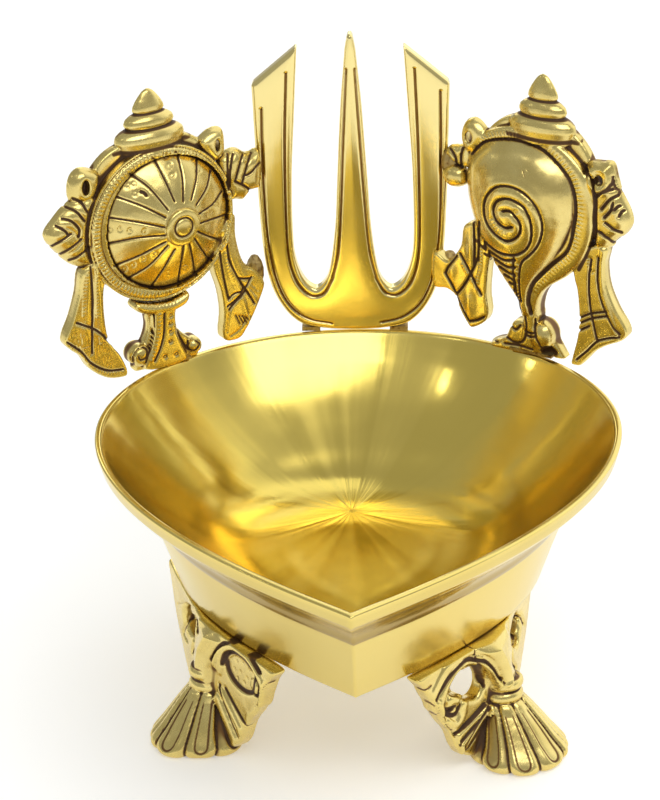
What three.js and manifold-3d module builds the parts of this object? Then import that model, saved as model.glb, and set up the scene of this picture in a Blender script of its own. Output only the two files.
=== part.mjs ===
// A brass oil lamp: a teardrop bowl on three cast bracket legs, with a tilak, a chakra plaque and a
// shankha plaque standing on the back of its rim. Millimetres, +Z up, the bowl's tip towards -Y.
import * as THREE from "three";
import { mergeVertices } from "three/addons/utils/BufferGeometryUtils.js";
import Module from "manifold-3d";

const wasm = await Module();
wasm.setup();

// Clearance between pieces that rest on each other or are brazed together
const seat = 0.3;

// Bowl, seen from above
const bowlHalfWidth = 75;
const bowlBackReach = 66.9;
const bowlTipReach = 108.8;
const sideHandle = 56.5;
const tipHandle = 13.2;
const tipHalfAngle = 0.83;

// Bowl, from the rim down
const bowlHeight = 42.3;
const lipWidth = 2;
const lipFace = 4;
const lipFaceInset = 0.8;
const creaseInset = 14.7;
const creaseDepth = 20.2;
const baseInset = 22;
const floorThickness = 3.5;
const floorInset = 44;

// Legs
const legHeight = 38.7;
const degrees = THREE.MathUtils.degToRad;
const leftLegAlong = 0.65;
const leftFootTurn = degrees(20);
const rightLegAlong = 0.69;
const rightFootTurn = degrees(-8);
const legTurnIn = degrees(5);
const wingThickness = 5;
const wingBevel = 0.8;
const longWing = 38;
const shortWing = 34;
const rearWing = 30;
const wingBend = degrees(24);
const wingHoleShare = 0.49;
const wingHoleDrop = 10.2;
const wingHoleLength = 12.5;
const wingHoleWidth = 7.5;
const footHalfWidth = 14.5;
const footHalfDepth = 12;
const footReach = 7;
const footHeight = 19;
const ankleHalfWidth = 7.5;
const ankleHalfDepth = 6.5;
const fluteCount = 12;
const fluteDepth = 0.09;
const collarRise = 3.8;
const collarLip = 1.5;
const voluteShare = 0.58;
const voluteDrop = 17;
const voluteRadius = 4.6;
const voluteDepth = 4;

// Leg screws
const tabLength = 17;
const tabWidth = 13;
const tabThickness = 4;
const screwReach = 11;
const screwRadius = 2;
const screwHeadRadius = 3.6;
const screwHeadHeight = 2.4;
const screwDepth = 5;

// Tilak
const tilakX = -2;
const tilakSetBack = 1.3;
const tilakY = bowlBackReach - lipWidth / 2 + tilakSetBack;
const tilakThickness = 5.4;
const tilakBevel = 1.1;
const tilakHeight = 94.6;
const tilakWaist = 28;
const tilakWaistHeight = 42;
const tilakTopHalfWidth = 29.1;
const tilakCornerHeight = 79;
const armTipHalfWidth = 15.5;
const armTipHeight = 91;
const gapHalfWidth = 18;
const gapFloorX = 11.4;
const gapFloorHeight = 14;
const spikeRootHalfWidth = 5;
const spikeRootHeight = 40;
const lugSpan = 13.3;
const lugWidth = 5.5;
const lugDepth = 4;
const lugHeight = 1.5;

// Plaques on the rim
const plaqueBack = -4;
const footPadHeight = 0.8;
const chakraReach = 31.8;
const chakraTieForward = 5.9;
const conchReach = 29.6;
const conchTieForward = 4.4;

// Chakra wheel
const wheelX = -0.8;
const wheelHeight = 45.2;
const wheelRadius = 24.3;
const discRadius = 20.5;
const domeHeight = 8.6;
const hubRadius = 5.8;
const hubProud = 0.9;

// Shankha
const shellHeight = 9;

// Finials
const finialTiers = [
  { radius: 10.4, foot: 0, top: 6.2 },
  { radius: 7.2, foot: 5.6, top: 10.8 },
  { radius: 4.6, foot: 10.4, top: 18.4 },
];
const finialFlat = 0.62;
const chakraFinialX = -2.2;
const chakraFinialHeight = 69.5;
const conchFinialHeight = 71.5;
const conchFinialX = 1.6;

// Materials
const polishedBrass = { color: 0xd3b45a, roughness: 0.3, metalness: 1 };
const antiqueBrass = { color: 0xa8843a, roughness: 0.42, metalness: 1 };
const brazeBrass = { color: 0x8f7a3c, roughness: 0.6, metalness: 1 };
const screwBrass = { color: 0xb9a15c, roughness: 0.4, metalness: 1 };

// A closed geometry as a solid that can be joined and cut
function solid(geometry) {
  const bare = geometry.clone();
  bare.deleteAttribute("normal");
  bare.deleteAttribute("uv");
  const merged = mergeVertices(bare, 1e-4);
  return new wasm.Manifold(
    new wasm.Mesh({
      numProp: 3,
      vertProperties: merged.attributes.position.array,
      triVerts: new Uint32Array(merged.index.array),
    }),
  );
}

function join(geometries) {
  return geometries.map(solid).reduce((all, one) => all.add(one));
}

function cut(body, geometries) {
  return geometries.map(solid).reduce((left, one) => left.subtract(one), body);
}

// A solid as a named mesh
function piece(name, body, look) {
  const { vertProperties, triVerts } = body.getMesh();
  const geometry = new THREE.BufferGeometry();
  geometry.setAttribute("position", new THREE.BufferAttribute(vertProperties, 3));
  geometry.setIndex(new THREE.BufferAttribute(triVerts, 1));
  geometry.computeVertexNormals();
  const mesh = new THREE.Mesh(geometry, new THREE.MeshStandardMaterial(look));
  mesh.name = name;
  return mesh;
}

// Closed skin over rings of equally many points, closed at both ends to the ring's middle
function skin(rings) {
  const count = rings[0].length;
  const middle = (ring) =>
    ring.reduce((sum, p) => sum.add(p), new THREE.Vector3()).divideScalar(count);
  const points = [middle(rings[0]), ...rings.flat(), middle(rings.at(-1))];
  const index = [];
  const at = (ring, i) => 1 + ring * count + (i % count);
  for (let i = 0; i < count; i++) {
    index.push(0, at(0, i + 1), at(0, i));
    for (let ring = 0; ring + 1 < rings.length; ring++) {
      index.push(at(ring, i), at(ring, i + 1), at(ring + 1, i));
      index.push(at(ring, i + 1), at(ring + 1, i + 1), at(ring + 1, i));
    }
    index.push(points.length - 1, at(rings.length - 1, i), at(rings.length - 1, i + 1));
  }
  return new THREE.BufferGeometry().setFromPoints(points).setIndex(index);
}

// Smooth closed outline through the points
function outline(points, perSpan = 3) {
  const corners = points.map(([x, y]) => new THREE.Vector3(x, y, 0));
  const curve = new THREE.CatmullRomCurve3(corners, true, "centripetal");
  const ring = curve.getPoints(points.length * perSpan).slice(0, -1);
  return ring.map((p) => new THREE.Vector2(p.x, p.y));
}

// Flat piece between two depths, with its edges bevelled on both faces
function plate(shape, back, front, bevel) {
  const geometry = new THREE.ExtrudeGeometry(shape, {
    depth: front - back - 2 * bevel,
    bevelEnabled: bevel > 0,
    bevelThickness: bevel,
    bevelSize: bevel,
    bevelOffset: -bevel,
    bevelSegments: 1,
    curveSegments: 6,
  });
  return geometry.translate(0, 0, back + bevel);
}

function smoothPlate(points, back, front, bevel = 0.6) {
  return plate(new THREE.Shape(outline(points)), back, front, bevel);
}

// Domed piece over an outline, with a flat back
function pillow(points, back, edge, crown) {
  const ring = outline(points);
  const centre = ring.reduce((sum, p) => sum.add(p), new THREE.Vector2());
  centre.divideScalar(ring.length);
  const level = (share, z) =>
    ring.map((p) => p.clone().lerp(centre, 1 - share)).map((p) => new THREE.Vector3(p.x, p.y, z));
  const domed = [1, 0.93, 0.8, 0.62, 0.42, 0.2].map((share) =>
    level(share, edge + (crown - edge) * Math.sqrt(1 - share * share)),
  );
  return skin(orderedUp([level(1, back), ...domed]));
}

// Rings turned so that the skin over them faces out
function orderedUp(rings) {
  const flat = rings[0].map((p) => new THREE.Vector2(p.x, p.y));
  return THREE.ShapeUtils.isClockWise(flat) ? rings.map((ring) => [...ring].reverse()) : rings;
}

function knot(points) {
  return pillow(points, -2.8, -1, 3);
}

function ribbon(points) {
  return smoothPlate(points, -2, 2);
}

// Tapered bar along a flat path: each station is [x, y, half width, half depth]
function sweep(stations, middle, sides = 10) {
  const rings = stations.map(([x, y, width, depth], i) => {
    const before = stations[Math.max(i - 1, 0)];
    const after = stations[Math.min(i + 1, stations.length - 1)];
    const along = new THREE.Vector2(after[0] - before[0], after[1] - before[1]).normalize();
    return Array.from({ length: sides }, (_, k) => {
      const angle = (2 * Math.PI * k) / sides;
      const across = width * Math.cos(angle);
      return new THREE.Vector3(
        x - along.y * across,
        y + along.x * across,
        middle + depth * Math.sin(angle),
      );
    });
  });
  return skin(rings);
}

function ball(x, y, z, rx, ry, rz) {
  return new THREE.SphereGeometry(1, 10, 7).scale(rx, ry, rz).translate(x, y, z);
}

function loop(x, y, z, radius, tube) {
  return new THREE.TorusGeometry(radius, tube, 6, 16).translate(x, y, z);
}

// Group on the rim or ground: x across, y up, z outwards or towards the bowl
function frame({ x, y, turn }, height) {
  const group = new THREE.Group();
  group.rotation.set(Math.PI / 2, 0, turn, "ZXY");
  group.position.set(x, y, height);
  group.updateMatrix();
  return group;
}

// Geometry of one group written in the frame of another
function into(target, source, geometry) {
  const change = target.matrix.clone().invert().multiply(source.matrix);
  return geometry.clone().applyMatrix4(change);
}

// Right half of the bowl's outline at an inset, from the middle of its back to its tip
function bowlEdge(inset) {
  const width = bowlHalfWidth - inset;
  const back = bowlBackReach - inset;
  const tip = bowlTipReach - inset / Math.sin(tipHalfAngle);
  const share = tip / bowlTipReach;
  const round = 0.5523;
  const edge = new THREE.Path();
  edge.moveTo(0, back);
  edge.bezierCurveTo(width * round, back, width, back * round, width, 0);
  edge.bezierCurveTo(
    width,
    -sideHandle * share,
    Math.sin(tipHalfAngle) * tipHandle * share,
    -tip + Math.cos(tipHalfAngle) * tipHandle * share,
    0,
    -tip,
  );
  return edge;
}

// Whole outline at an inset, at one height
function bowlRing(inset, z) {
  const right = bowlEdge(inset).getPoints(12);
  const left = right.slice(1, -1).reverse();
  const ring = [...right, ...left.map((p) => new THREE.Vector2(-p.x, p.y))];
  return ring.map((p) => new THREE.Vector3(p.x, p.y, z));
}

// Where a leg stands under the edge of the bowl's base
function legPlace(along, side) {
  const edge = bowlEdge(baseInset);
  const spot = edge.getPointAt(along);
  const tangent = edge.getTangentAt(along);
  const turn = Math.atan2(-tangent.y, -tangent.x) - legTurnIn;
  return { x: side * spot.x, y: spot.y, turn: side * turn };
}

// Where a plaque stands on the rim, at its reach from the point that ties it to the tilak
function plaquePlace(tie, reach, side) {
  const lip = bowlEdge(0).getSpacedPoints(2000);
  const spots = lip.map((p) => new THREE.Vector2(side * p.x, p.y)).filter((p) => p.y > 0);
  const foot = spots.findLast((p) => p.distanceTo(tie) <= reach);
  const turn = Math.atan2(side * (foot.y - tie.y), side * (foot.x - tie.x));
  return { x: foot.x, y: foot.y, turn };
}

// Bowl as one skin, from the middle of its floor over the lip to its underside
function bowlBody(legs) {
  const rim = legHeight + bowlHeight;
  const floorDepth = bowlHeight - floorThickness;
  const inside = [
    [floorInset, 1],
    [floorInset * 0.727, 0.9],
    [floorInset * 0.545, 0.73],
    [floorInset * 0.432, 0.56],
    [floorInset * 0.33, 0.39],
    [floorInset * 0.205, 0.22],
    [floorInset * 0.102, 0.09],
    [lipWidth, 0],
  ];
  const outside = [
    [0, 0],
    [lipFaceInset, lipFace],
    [creaseInset * 0.33, creaseDepth * 0.4],
    [creaseInset * 0.72, creaseDepth * 0.66],
    [creaseInset * 0.92, creaseDepth * 0.86],
    [creaseInset, creaseDepth],
    [baseInset, bowlHeight],
  ];
  const rings = [
    ...inside.map(([inset, share]) => bowlRing(inset, rim - share * floorDepth)),
    ...outside.map(([inset, depth]) => bowlRing(inset, rim - depth)),
  ];
  const holes = legs.map((leg) => {
    const hole = new THREE.CylinderGeometry(screwRadius + seat, screwRadius + seat, 2 * screwDepth, 16);
    hole.translate(0, legHeight, -screwReach);
    return hole.applyMatrix4(leg.matrix);
  });
  return cut(solid(skin(rings)), holes);
}

// Foot: a shell of flutes that flares from the ankle to the ground
function shellFoot(turn) {
  const levels = [1, 0.72, 0.42, 0.18, 0];
  const rings = levels.map((drop) => {
    const spread = 1 - (1 - drop) ** 1.6;
    const width = ankleHalfWidth + (footHalfWidth - ankleHalfWidth) * spread;
    const depth = ankleHalfDepth + (footHalfDepth - ankleHalfDepth) * spread;
    return Array.from({ length: fluteCount * 4 }, (_, k) => {
      const angle = (2 * Math.PI * k) / (fluteCount * 4);
      const flute = 1 - fluteDepth * spread * (1 - Math.abs(Math.sin((angle * fluteCount) / 2)));
      return new THREE.Vector3(
        width * flute * Math.cos(angle),
        footHeight * (1 - drop),
        footReach * spread + depth * flute * Math.sin(angle),
      );
    }).reverse();
  });
  return skin(rings).rotateY(-turn);
}

// Ring of the column or collar, at one height
function columnRing(y, width, depth) {
  return Array.from({ length: 16 }, (_, k) => {
    const angle = (2 * Math.PI * k) / 16;
    return new THREE.Vector3(width * Math.cos(angle), y, 1 + depth * Math.sin(angle));
  }).reverse();
}

function collar(foot) {
  const [w, d] = [ankleHalfWidth, ankleHalfDepth];
  return skin([
    columnRing(foot, w, d),
    columnRing(foot + collarRise * 0.25, w + collarLip, d + collarLip),
    columnRing(foot + collarRise * 0.75, w + collarLip, d + collarLip),
    columnRing(foot + collarRise, w, d),
  ]);
}

// Bracket wing: a plate with an eye, its top edge under the bowl's base, turned back by its bend
function wing(reach, way, bend) {
  const top = legHeight - seat;
  const shape = new THREE.Shape(wingEdge(reach, top, way));
  const eye = new THREE.Path();
  const slant = way * 0.5;
  const [halfLength, halfWidth] = [wingHoleLength / 2, wingHoleWidth / 2];
  const x = way * reach * wingHoleShare;
  eye.absellipse(x, legHeight - wingHoleDrop, halfLength, halfWidth, 0, 2 * Math.PI, false, slant);
  shape.holes.push(eye);
  return plate(shape, -wingThickness / 2, wingThickness / 2, wingBevel).rotateY(way * bend);
}

// Ogee outline of one wing, from its root over its end under the bowl and down to the foot. Each
// point is a share of the wing's reach and of its height.
function wingEdge(reach, top, way) {
  const edge = new THREE.Path();
  const curves = [
    [[0.95, 0.79], [0.85, 0.66], [0.8, 0.53]],
    [[0.66, 0.4], [0.68, 0.17], [(footHalfWidth * 0.7) / reach, 0.08]],
  ];
  edge.moveTo(0, top);
  edge.lineTo(way * reach, top);
  curves.forEach((points) => {
    edge.bezierCurveTo(...points.flatMap(([x, y]) => [way * reach * x, top * y]));
  });
  edge.lineTo(0, top * 0.08);
  return edge.getPoints(6);
}

// Tab under the bowl, with its screw hole
function tab() {
  const top = legHeight - seat;
  const bar = new THREE.BoxGeometry(tabWidth, tabThickness, tabLength);
  return bar.translate(0, top - tabThickness / 2, -tabLength / 2);
}

function legBody(side, footTurn, reaches, bend) {
  const neck = skin([
    columnRing(footHeight * 0.84, ankleHalfWidth, ankleHalfDepth),
    columnRing(legHeight * 0.77, ankleHalfWidth, ankleHalfDepth * 0.92),
    columnRing(legHeight - seat, ankleHalfWidth * 1.53, ankleHalfDepth * 0.7),
  ]);
  const bends = [0, bend];
  const plates = reaches.map((reach, i) => wing(reach, i === 0 ? -1 : 1, bends[i]));
  const scrolls = reaches.map((reach, i) => {
    const way = i === 0 ? -1 : 1;
    const scroll = new THREE.CylinderGeometry(voluteRadius * 0.8, voluteRadius, voluteDepth, 14);
    scroll.rotateX(Math.PI / 2);
    scroll.translate(way * reach * voluteShare, legHeight - voluteDrop, wingThickness / 2);
    return scroll.rotateY(way * bends[i]);
  });
  const hole = new THREE.CylinderGeometry(screwRadius + seat, screwRadius + seat, 3 * tabThickness, 16);
  hole.translate(0, legHeight - tabThickness / 2, -screwReach);
  const parts = [
    shellFoot(side * footTurn),
    neck,
    collar(footHeight - collarRise * 0.26),
    collar(footHeight + collarRise * 0.74),
    ...plates,
    ...scrolls,
    tab(),
  ];
  const turned = (geometry) => (side > 0 ? geometry : mirrored(geometry));
  return cut(join(parts.map(turned)), [turned(hole)]);
}

// Geometry mirrored left to right, with its faces turned to point out again
function mirrored(geometry) {
  const flipped = geometry.index ? geometry.toNonIndexed() : geometry.clone();
  flipped.scale(-1, 1, 1);
  const place = flipped.attributes.position;
  for (let i = 0; i < place.count; i += 3) {
    const [b, c] = [1, 2].map((k) => new THREE.Vector3().fromBufferAttribute(place, i + k));
    place.setXYZ(i + 1, c.x, c.y, c.z);
    place.setXYZ(i + 2, b.x, b.y, b.z);
  }
  return flipped;
}

function screwBody() {
  const length = tabThickness + seat + screwDepth - 1;
  const under = legHeight - seat - tabThickness - seat;
  const shank = new THREE.CylinderGeometry(screwRadius, screwRadius, length + seat, 16);
  shank.translate(0, under + (length + seat) / 2, -screwReach);
  const head = new THREE.CylinderGeometry(screwHeadRadius, screwHeadRadius, screwHeadHeight, 16);
  head.translate(0, under - screwHeadHeight / 2, -screwReach);
  return join([shank, head]);
}

// Outside edge of the tilak's right half, grown sideways, from its foot up to the arm's tip
function tilakSide(path, grow) {
  path.moveTo(0, seat);
  path.bezierCurveTo(21.5, seat, tilakWaist - 0.5 + grow, 7, tilakWaist + grow, tilakWaistHeight);
  path.lineTo(tilakTopHalfWidth + grow, tilakCornerHeight);
  path.lineTo(armTipHalfWidth, armTipHeight);
}

// Inside of the right gap, from the arm's tip down round its floor and up the spike
function tilakGap(path) {
  path.quadraticCurveTo(gapHalfWidth - 0.3, 60, gapHalfWidth, 34);
  path.bezierCurveTo(gapHalfWidth, 22, 15, gapFloorHeight, gapFloorX, gapFloorHeight);
  path.bezierCurveTo(8, gapFloorHeight, 6.5, 22, spikeRootHalfWidth, spikeRootHeight);
  path.lineTo(1.7, tilakHeight - 5);
  path.lineTo(0, tilakHeight);
}

// Both halves of a right half drawn by the given steps
function bothHalves(draw) {
  const half = new THREE.Path();
  draw(half);
  const right = half.getPoints(7);
  const left = right.slice(1, -1).reverse();
  const shape = [...right, ...left.map((p) => new THREE.Vector2(-p.x, p.y))];
  return new THREE.Shape(shape);
}

function tilakBody() {
  const shape = bothHalves((half) => {
    tilakSide(half, 0);
    tilakGap(half);
  });
  return solid(plate(shape, -tilakThickness / 2, tilakThickness / 2, tilakBevel));
}

// Room that the tilak takes, for cutting what is brazed to its sides
function tilakRoom() {
  const shape = bothHalves((half) => {
    tilakSide(half, seat);
    half.lineTo(0, armTipHeight);
  });
  return plate(shape, -tilakThickness / 2 - seat, tilakThickness / 2 + seat, 0);
}

function lugBody(side) {
  const lug = new THREE.BoxGeometry(lugWidth, lugHeight - seat, lugDepth);
  return solid(lug.translate(side * lugSpan, lugHeight / 2 - seat / 2, 0));
}

// Three-tiered finial, flattened front to back
function finial(x, foot, z) {
  const profile = [new THREE.Vector2(0, 0)];
  finialTiers.forEach(({ radius, foot: low, top }, i) => {
    const last = i === finialTiers.length - 1;
    profile.push(new THREE.Vector2(radius * 0.82, low));
    profile.push(new THREE.Vector2(radius, low + (top - low) * 0.28));
    profile.push(new THREE.Vector2(radius * 0.86, low + (top - low) * 0.62));
    if (last) profile.push(new THREE.Vector2(radius * 0.3, low + (top - low) * 0.9));
    profile.push(new THREE.Vector2(last ? 0 : radius * 0.6, top));
  });
  return new THREE.LatheGeometry(profile, 18).scale(1, 1, finialFlat).translate(x, foot, z);
}

// Wheel: a domed disc with its hub, a groove and a raised ring, turned about its own axis
function wheel() {
  const dome = (r) => domeHeight * (1 - (r / discRadius) ** 2) + 0.4;
  const profile = [
    [0, dome(0) + hubProud + 0.6],
    [hubRadius * 0.5, dome(0) + hubProud + 0.6],
    [hubRadius * 0.55, dome(0) + hubProud - 0.4],
    [hubRadius, dome(hubRadius) + hubProud],
    [hubRadius + 0.3, dome(hubRadius)],
    ...[0.5, 0.7, 0.86, 0.97].map((share) => [discRadius * share, dome(discRadius * share)]),
    [discRadius + 0.3, -1],
    [discRadius + 0.9, 1.6],
    [(discRadius + wheelRadius) / 2 + 0.4, 2.8],
    [wheelRadius - 0.5, 1.6],
    [wheelRadius, -0.5],
    [wheelRadius - 1.4, plaqueBack],
    [0, plaqueBack],
  ];
  const points = profile.reverse().map(([r, z]) => new THREE.Vector2(r, z));
  return new THREE.LatheGeometry(points, 36).rotateX(Math.PI / 2).translate(wheelX, wheelHeight, 0);
}

function chakraParts() {
  return [
    wheel(),
    finial(chakraFinialX, chakraFinialHeight - 1, -2),
    // Pedestal: collar, column and base with its scrolls
    smoothPlate(
      [[-10.5, 17.5], [-9.5, 22.5], [-1.5, 24], [6.8, 22.5], [7.6, 17.5], [-1.5, 16.6]],
      plaqueBack,
      4,
    ),
    smoothPlate([[-7, 8], [-6.5, 18], [4.5, 18], [4.8, 8], [-1, 6]], plaqueBack, 3),
    smoothPlate([[-11, -2], [-12, 4], [-8, 9], [-1, 10], [6, 9], [10.4, 4], [10, -2]], plaqueBack, 3),
    // Loop and knot on the left, horn and knot on the right
    loop(-24.8, 62.2, -1, 3.6, 1.8),
    knot([[-38, 50], [-30.5, 58.5], [-22, 58], [-19, 48], [-23, 37.5], [-29, 39]]),
    loop(17.6, 65.6, -1, 3.4, 1.9),
    knot([[20, 47], [20, 61], [26, 63], [33, 60], [33, 49], [27, 44.5]]),
    ribbon([
      [-19, 39],
      [-27.5, 38],
      [-29.5, 29],
      [-35, 15.5],
      [-28, 4],
      [-15.5, -0.5],
      [-19, 12],
      [-19.5, 27],
    ]),
    ribbon([[16, 36], [15, 27], [18.5, 12], [18.5, 2], [24, 1.6], [33.5, 17.5], [26, 27], [23.5, 40]]),
  ];
}

// Height of a plaque's underside over the rim
function footHeightOverRim() {
  return footPadHeight + 2 * seat;
}

function conchParts() {
  return [
    // Shell and the band that runs over it and down into the neck
    pillow(
      [
        [-22, 54],
        [-17, 63],
        [-7, 67],
        [5, 64],
        [12.5, 53],
        [11, 40],
        [4, 28],
        [-2, 17],
        [-13, 27],
        [-20, 40],
      ],
      plaqueBack,
      0,
      shellHeight,
    ),
    sweep(
      [
        [-20, 60, 3.2, 3.4],
        [-15, 66.5, 3.6, 3.6],
        [-6, 70, 3.6, 3.6],
        [5, 68.5, 3.6, 3.6],
        [12.5, 62, 3.6, 3.6],
        [16, 51, 3.6, 3.6],
        [14.5, 40, 3.8, 3.6],
        [9.5, 31.5, 4.4, 3.6],
        [3.5, 25.5, 5.2, 3.6],
        [-0.5, 17, 4.8, 3.4],
        [-0.5, 9, 5, 3.2],
      ],
      -0.5,
    ),
    finial(conchFinialX, conchFinialHeight - 1, 0),
    // Base with its scroll and tail
    smoothPlate(
      [
        [-16, -2],
        [-15, 2],
        [-10, 4.5],
        [-8, 9],
        [-3, 12],
        [4, 12],
        [7, 8],
        [11, 4.5],
        [12, -2],
      ],
      plaqueBack,
      3,
    ),
    // Loop and round knot on the left, long knot on the right
    loop(-20.5, 66, -1, 3.2, 1.7),
    knot([[-31, 51], [-28, 57], [-20, 60], [-19, 50], [-25, 47.5]]),
    knot([[15.5, 64.5], [22.5, 65], [30, 49], [25, 40.5], [18, 38], [14, 50]]),
    ribbon([[13.5, 40], [22.5, 39], [22, 30], [29.5, 13], [21.5, 6.5], [12.5, -1], [14, 15], [12.5, 28]]),
    ribbon([[-15, 37], [-23, 37], [-26.5, 27], [-29, 14], [-21, 4], [-15.5, 9], [-16, 16], [-13, 28]]),
  ];
}

// Braze beads, each in the frame of its plaque
const beads = {
  chakra: {
    upper: [chakraReach, 54.5, -2, 2.6, 5.5, 3],
    lower: [chakraReach - 0.3, 21, -2, 2.6, 5.5, 3],
  },
  conch: {
    upper: [0.3 - conchReach, 55, -2, 3, 4.8, 3],
    lower: [-0.4 - conchReach, 20.5, -2, 3, 6, 3],
  },
};

// Bead with its three half sizes grown
function bead([x, y, z, rx, ry, rz], grow) {
  return ball(x, y, z, rx + grow, ry + grow, rz + grow);
}

function plaque(name, parts, group, tilak, root) {
  const room = into(group, tilak, tilakRoom());
  const ties = beads[name];
  const below = new THREE.BoxGeometry(60, 20, 20).translate(0, footHeightOverRim() - 10, 0);
  const cutters = [room, below, bead(ties.upper, seat), bead(ties.lower, seat)];
  group.add(piece(name, cut(join(parts), cutters), antiqueBrass));
  for (const [level, tie] of Object.entries(ties)) {
    const body = cut(solid(bead(tie, 0)), [room]);
    group.add(piece("braze_" + name + "_" + level, body, brazeBrass));
  }
  const pad = new THREE.BoxGeometry(14, footPadHeight, 4).translate(-0.5, seat + footPadHeight / 2, 0);
  group.add(piece("braze_" + name + "_foot", solid(pad), brazeBrass));
  root.add(group);
}

function assemble() {
  const root = new THREE.Group();
  const rim = legHeight + bowlHeight;
  const rear = { x: 0, y: bowlBackReach - baseInset - 1, turn: Math.PI };
  const legPlaces = {
    front_left: [legPlace(leftLegAlong, -1), -1, leftFootTurn, [longWing, shortWing], wingBend],
    front_right: [legPlace(rightLegAlong, 1), 1, rightFootTurn, [longWing, shortWing], wingBend],
    rear: [rear, 1, 0, [rearWing, rearWing], 0],
  };
  const legs = Object.entries(legPlaces).map(([name, [place, side, footTurn, reaches, bend]]) => {
    const group = frame(place, 0);
    const body = legBody(side, footTurn, reaches, bend);
    group.add(piece("leg_" + name, body, antiqueBrass));
    group.add(piece("leg_screw_" + name, screwBody(), screwBrass));
    root.add(group);
    return group;
  });
  root.add(piece("bowl", bowlBody(legs), polishedBrass));

  const tilak = frame({ x: tilakX, y: tilakY, turn: 0 }, rim);
  tilak.add(piece("tilak", tilakBody(), polishedBrass));
  tilak.add(piece("tilak_lug_left", lugBody(-1), brazeBrass));
  tilak.add(piece("tilak_lug_right", lugBody(1), brazeBrass));
  root.add(tilak);
  const chakraTie = new THREE.Vector2(tilakX - tilakWaist - seat, tilakY - chakraTieForward);
  const conchTie = new THREE.Vector2(tilakX + tilakWaist + seat, tilakY - conchTieForward);
  const chakraPlace = plaquePlace(chakraTie, chakraReach, -1);
  const conchPlace = plaquePlace(conchTie, conchReach, 1);
  plaque("chakra", chakraParts(), frame(chakraPlace, rim), tilak, root);
  plaque("conch", conchParts(), frame(conchPlace, rim), tilak, root);
  return root;
}

// The origin is at the middle of the ground under the whole lamp
const lamp = assemble();
const extent = new THREE.Box3().setFromObject(lamp);
const centre = extent.getCenter(new THREE.Vector3());
lamp.position.set(-centre.x, -centre.y, 0);

export default lamp;
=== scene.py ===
import math

import bpy
import numpy as np
from mathutils import Matrix, Vector


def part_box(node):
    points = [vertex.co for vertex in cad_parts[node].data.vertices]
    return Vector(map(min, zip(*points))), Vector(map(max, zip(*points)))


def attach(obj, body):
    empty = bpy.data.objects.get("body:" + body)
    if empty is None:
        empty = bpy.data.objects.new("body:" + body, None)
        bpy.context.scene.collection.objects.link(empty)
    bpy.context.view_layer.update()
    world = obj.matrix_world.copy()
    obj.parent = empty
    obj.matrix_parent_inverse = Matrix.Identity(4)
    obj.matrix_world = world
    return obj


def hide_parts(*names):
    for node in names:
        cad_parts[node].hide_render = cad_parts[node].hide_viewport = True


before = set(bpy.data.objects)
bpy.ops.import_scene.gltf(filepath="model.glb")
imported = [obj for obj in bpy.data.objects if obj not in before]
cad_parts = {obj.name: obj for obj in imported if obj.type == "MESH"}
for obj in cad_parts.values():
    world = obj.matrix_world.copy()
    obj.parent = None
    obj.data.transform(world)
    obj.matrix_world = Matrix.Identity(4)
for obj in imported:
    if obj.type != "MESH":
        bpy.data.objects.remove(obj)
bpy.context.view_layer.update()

MM = 0.001
# Grid step of the castings, in millimetres
STEP = 0.34
# How far round a point the solid is weighed for crevices and for hollows
FINE_REACH, BROAD_REACH = 0.8, 2.4

# Bowl, in millimetres from the middle of its widest line and down from the rim
HALF_WIDTH = 75.0
BACK_REACH = 66.9
TIP_REACH = 108.8
SIDE_HANDLE = 56.5
TIP_HANDLE = 13.2
TIP_HALF_ANGLE = 0.83
BOWL_HEIGHT = 42.3
FLOOR_DEPTH = 38.8
CREASE_DEPTH = 20.3
BASE_INSET = 22.0

bowl_low, bowl_high = (Vector(corner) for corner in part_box("bowl"))
RIM = bowl_high.z / MM
CENTRE = ((bowl_low.x + bowl_high.x) / 2 / MM, bowl_low.y / MM + TIP_REACH)


# Curves and flat shapes


def curve(points, per_span=6, closed=False):
    """Smooth curve through the points, with its slopes weighed by the lengths on both sides."""
    p = np.asarray(points, float)
    n = len(p)
    spans = n if closed else n - 1
    at = (lambda i: p[i % n]) if closed else (lambda i: p[min(max(i, 0), n - 1)])
    t = np.linspace(0, 1, per_span, endpoint=False)[:, None]
    out = []
    for i in range(spans):
        a, b, c, d = at(i - 1), at(i), at(i + 1), at(i + 2)
        chord = max(np.linalg.norm(c - b), 1e-6)
        before = (c - a) * chord / max(np.linalg.norm(b - a) + chord, 1e-6)
        after = (d - b) * chord / max(np.linalg.norm(d - c) + chord, 1e-6)
        h1, h2 = 2 * t**3 - 3 * t**2 + 1, t**3 - 2 * t**2 + t
        out.append(h1 * b + h2 * before + (1 - h1) * c + (t**3 - t**2) * after)
    if not closed:
        out.append(p[-1:])
    return np.vstack(out)


def polygon(x, y, points):
    """Signed distance to a closed outline, negative inside."""
    p = np.asarray(points, float)
    distance = np.full(x.shape, 1e9)
    crossings = np.zeros(x.shape, bool)
    for (ax, ay), (bx, by) in zip(p, np.roll(p, -1, 0)):
        ex, ey = bx - ax, by - ay
        wx, wy = x - ax, y - ay
        share = np.clip((wx * ex + wy * ey) / max(ex * ex + ey * ey, 1e-12), 0, 1)
        distance = np.minimum(distance, (wx - share * ex) ** 2 + (wy - share * ey) ** 2)
        above = (ay <= y) != (by <= y)
        crossings ^= above & (x < ax + (y - ay) / (ey if ey else 1e-12) * ex)
    return np.sqrt(distance) * np.where(crossings, -1, 1)


def outline(x, y, points):
    """Signed distance to a smooth closed curve through the points."""
    return polygon(x, y, curve(points, 5, closed=True))


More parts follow.
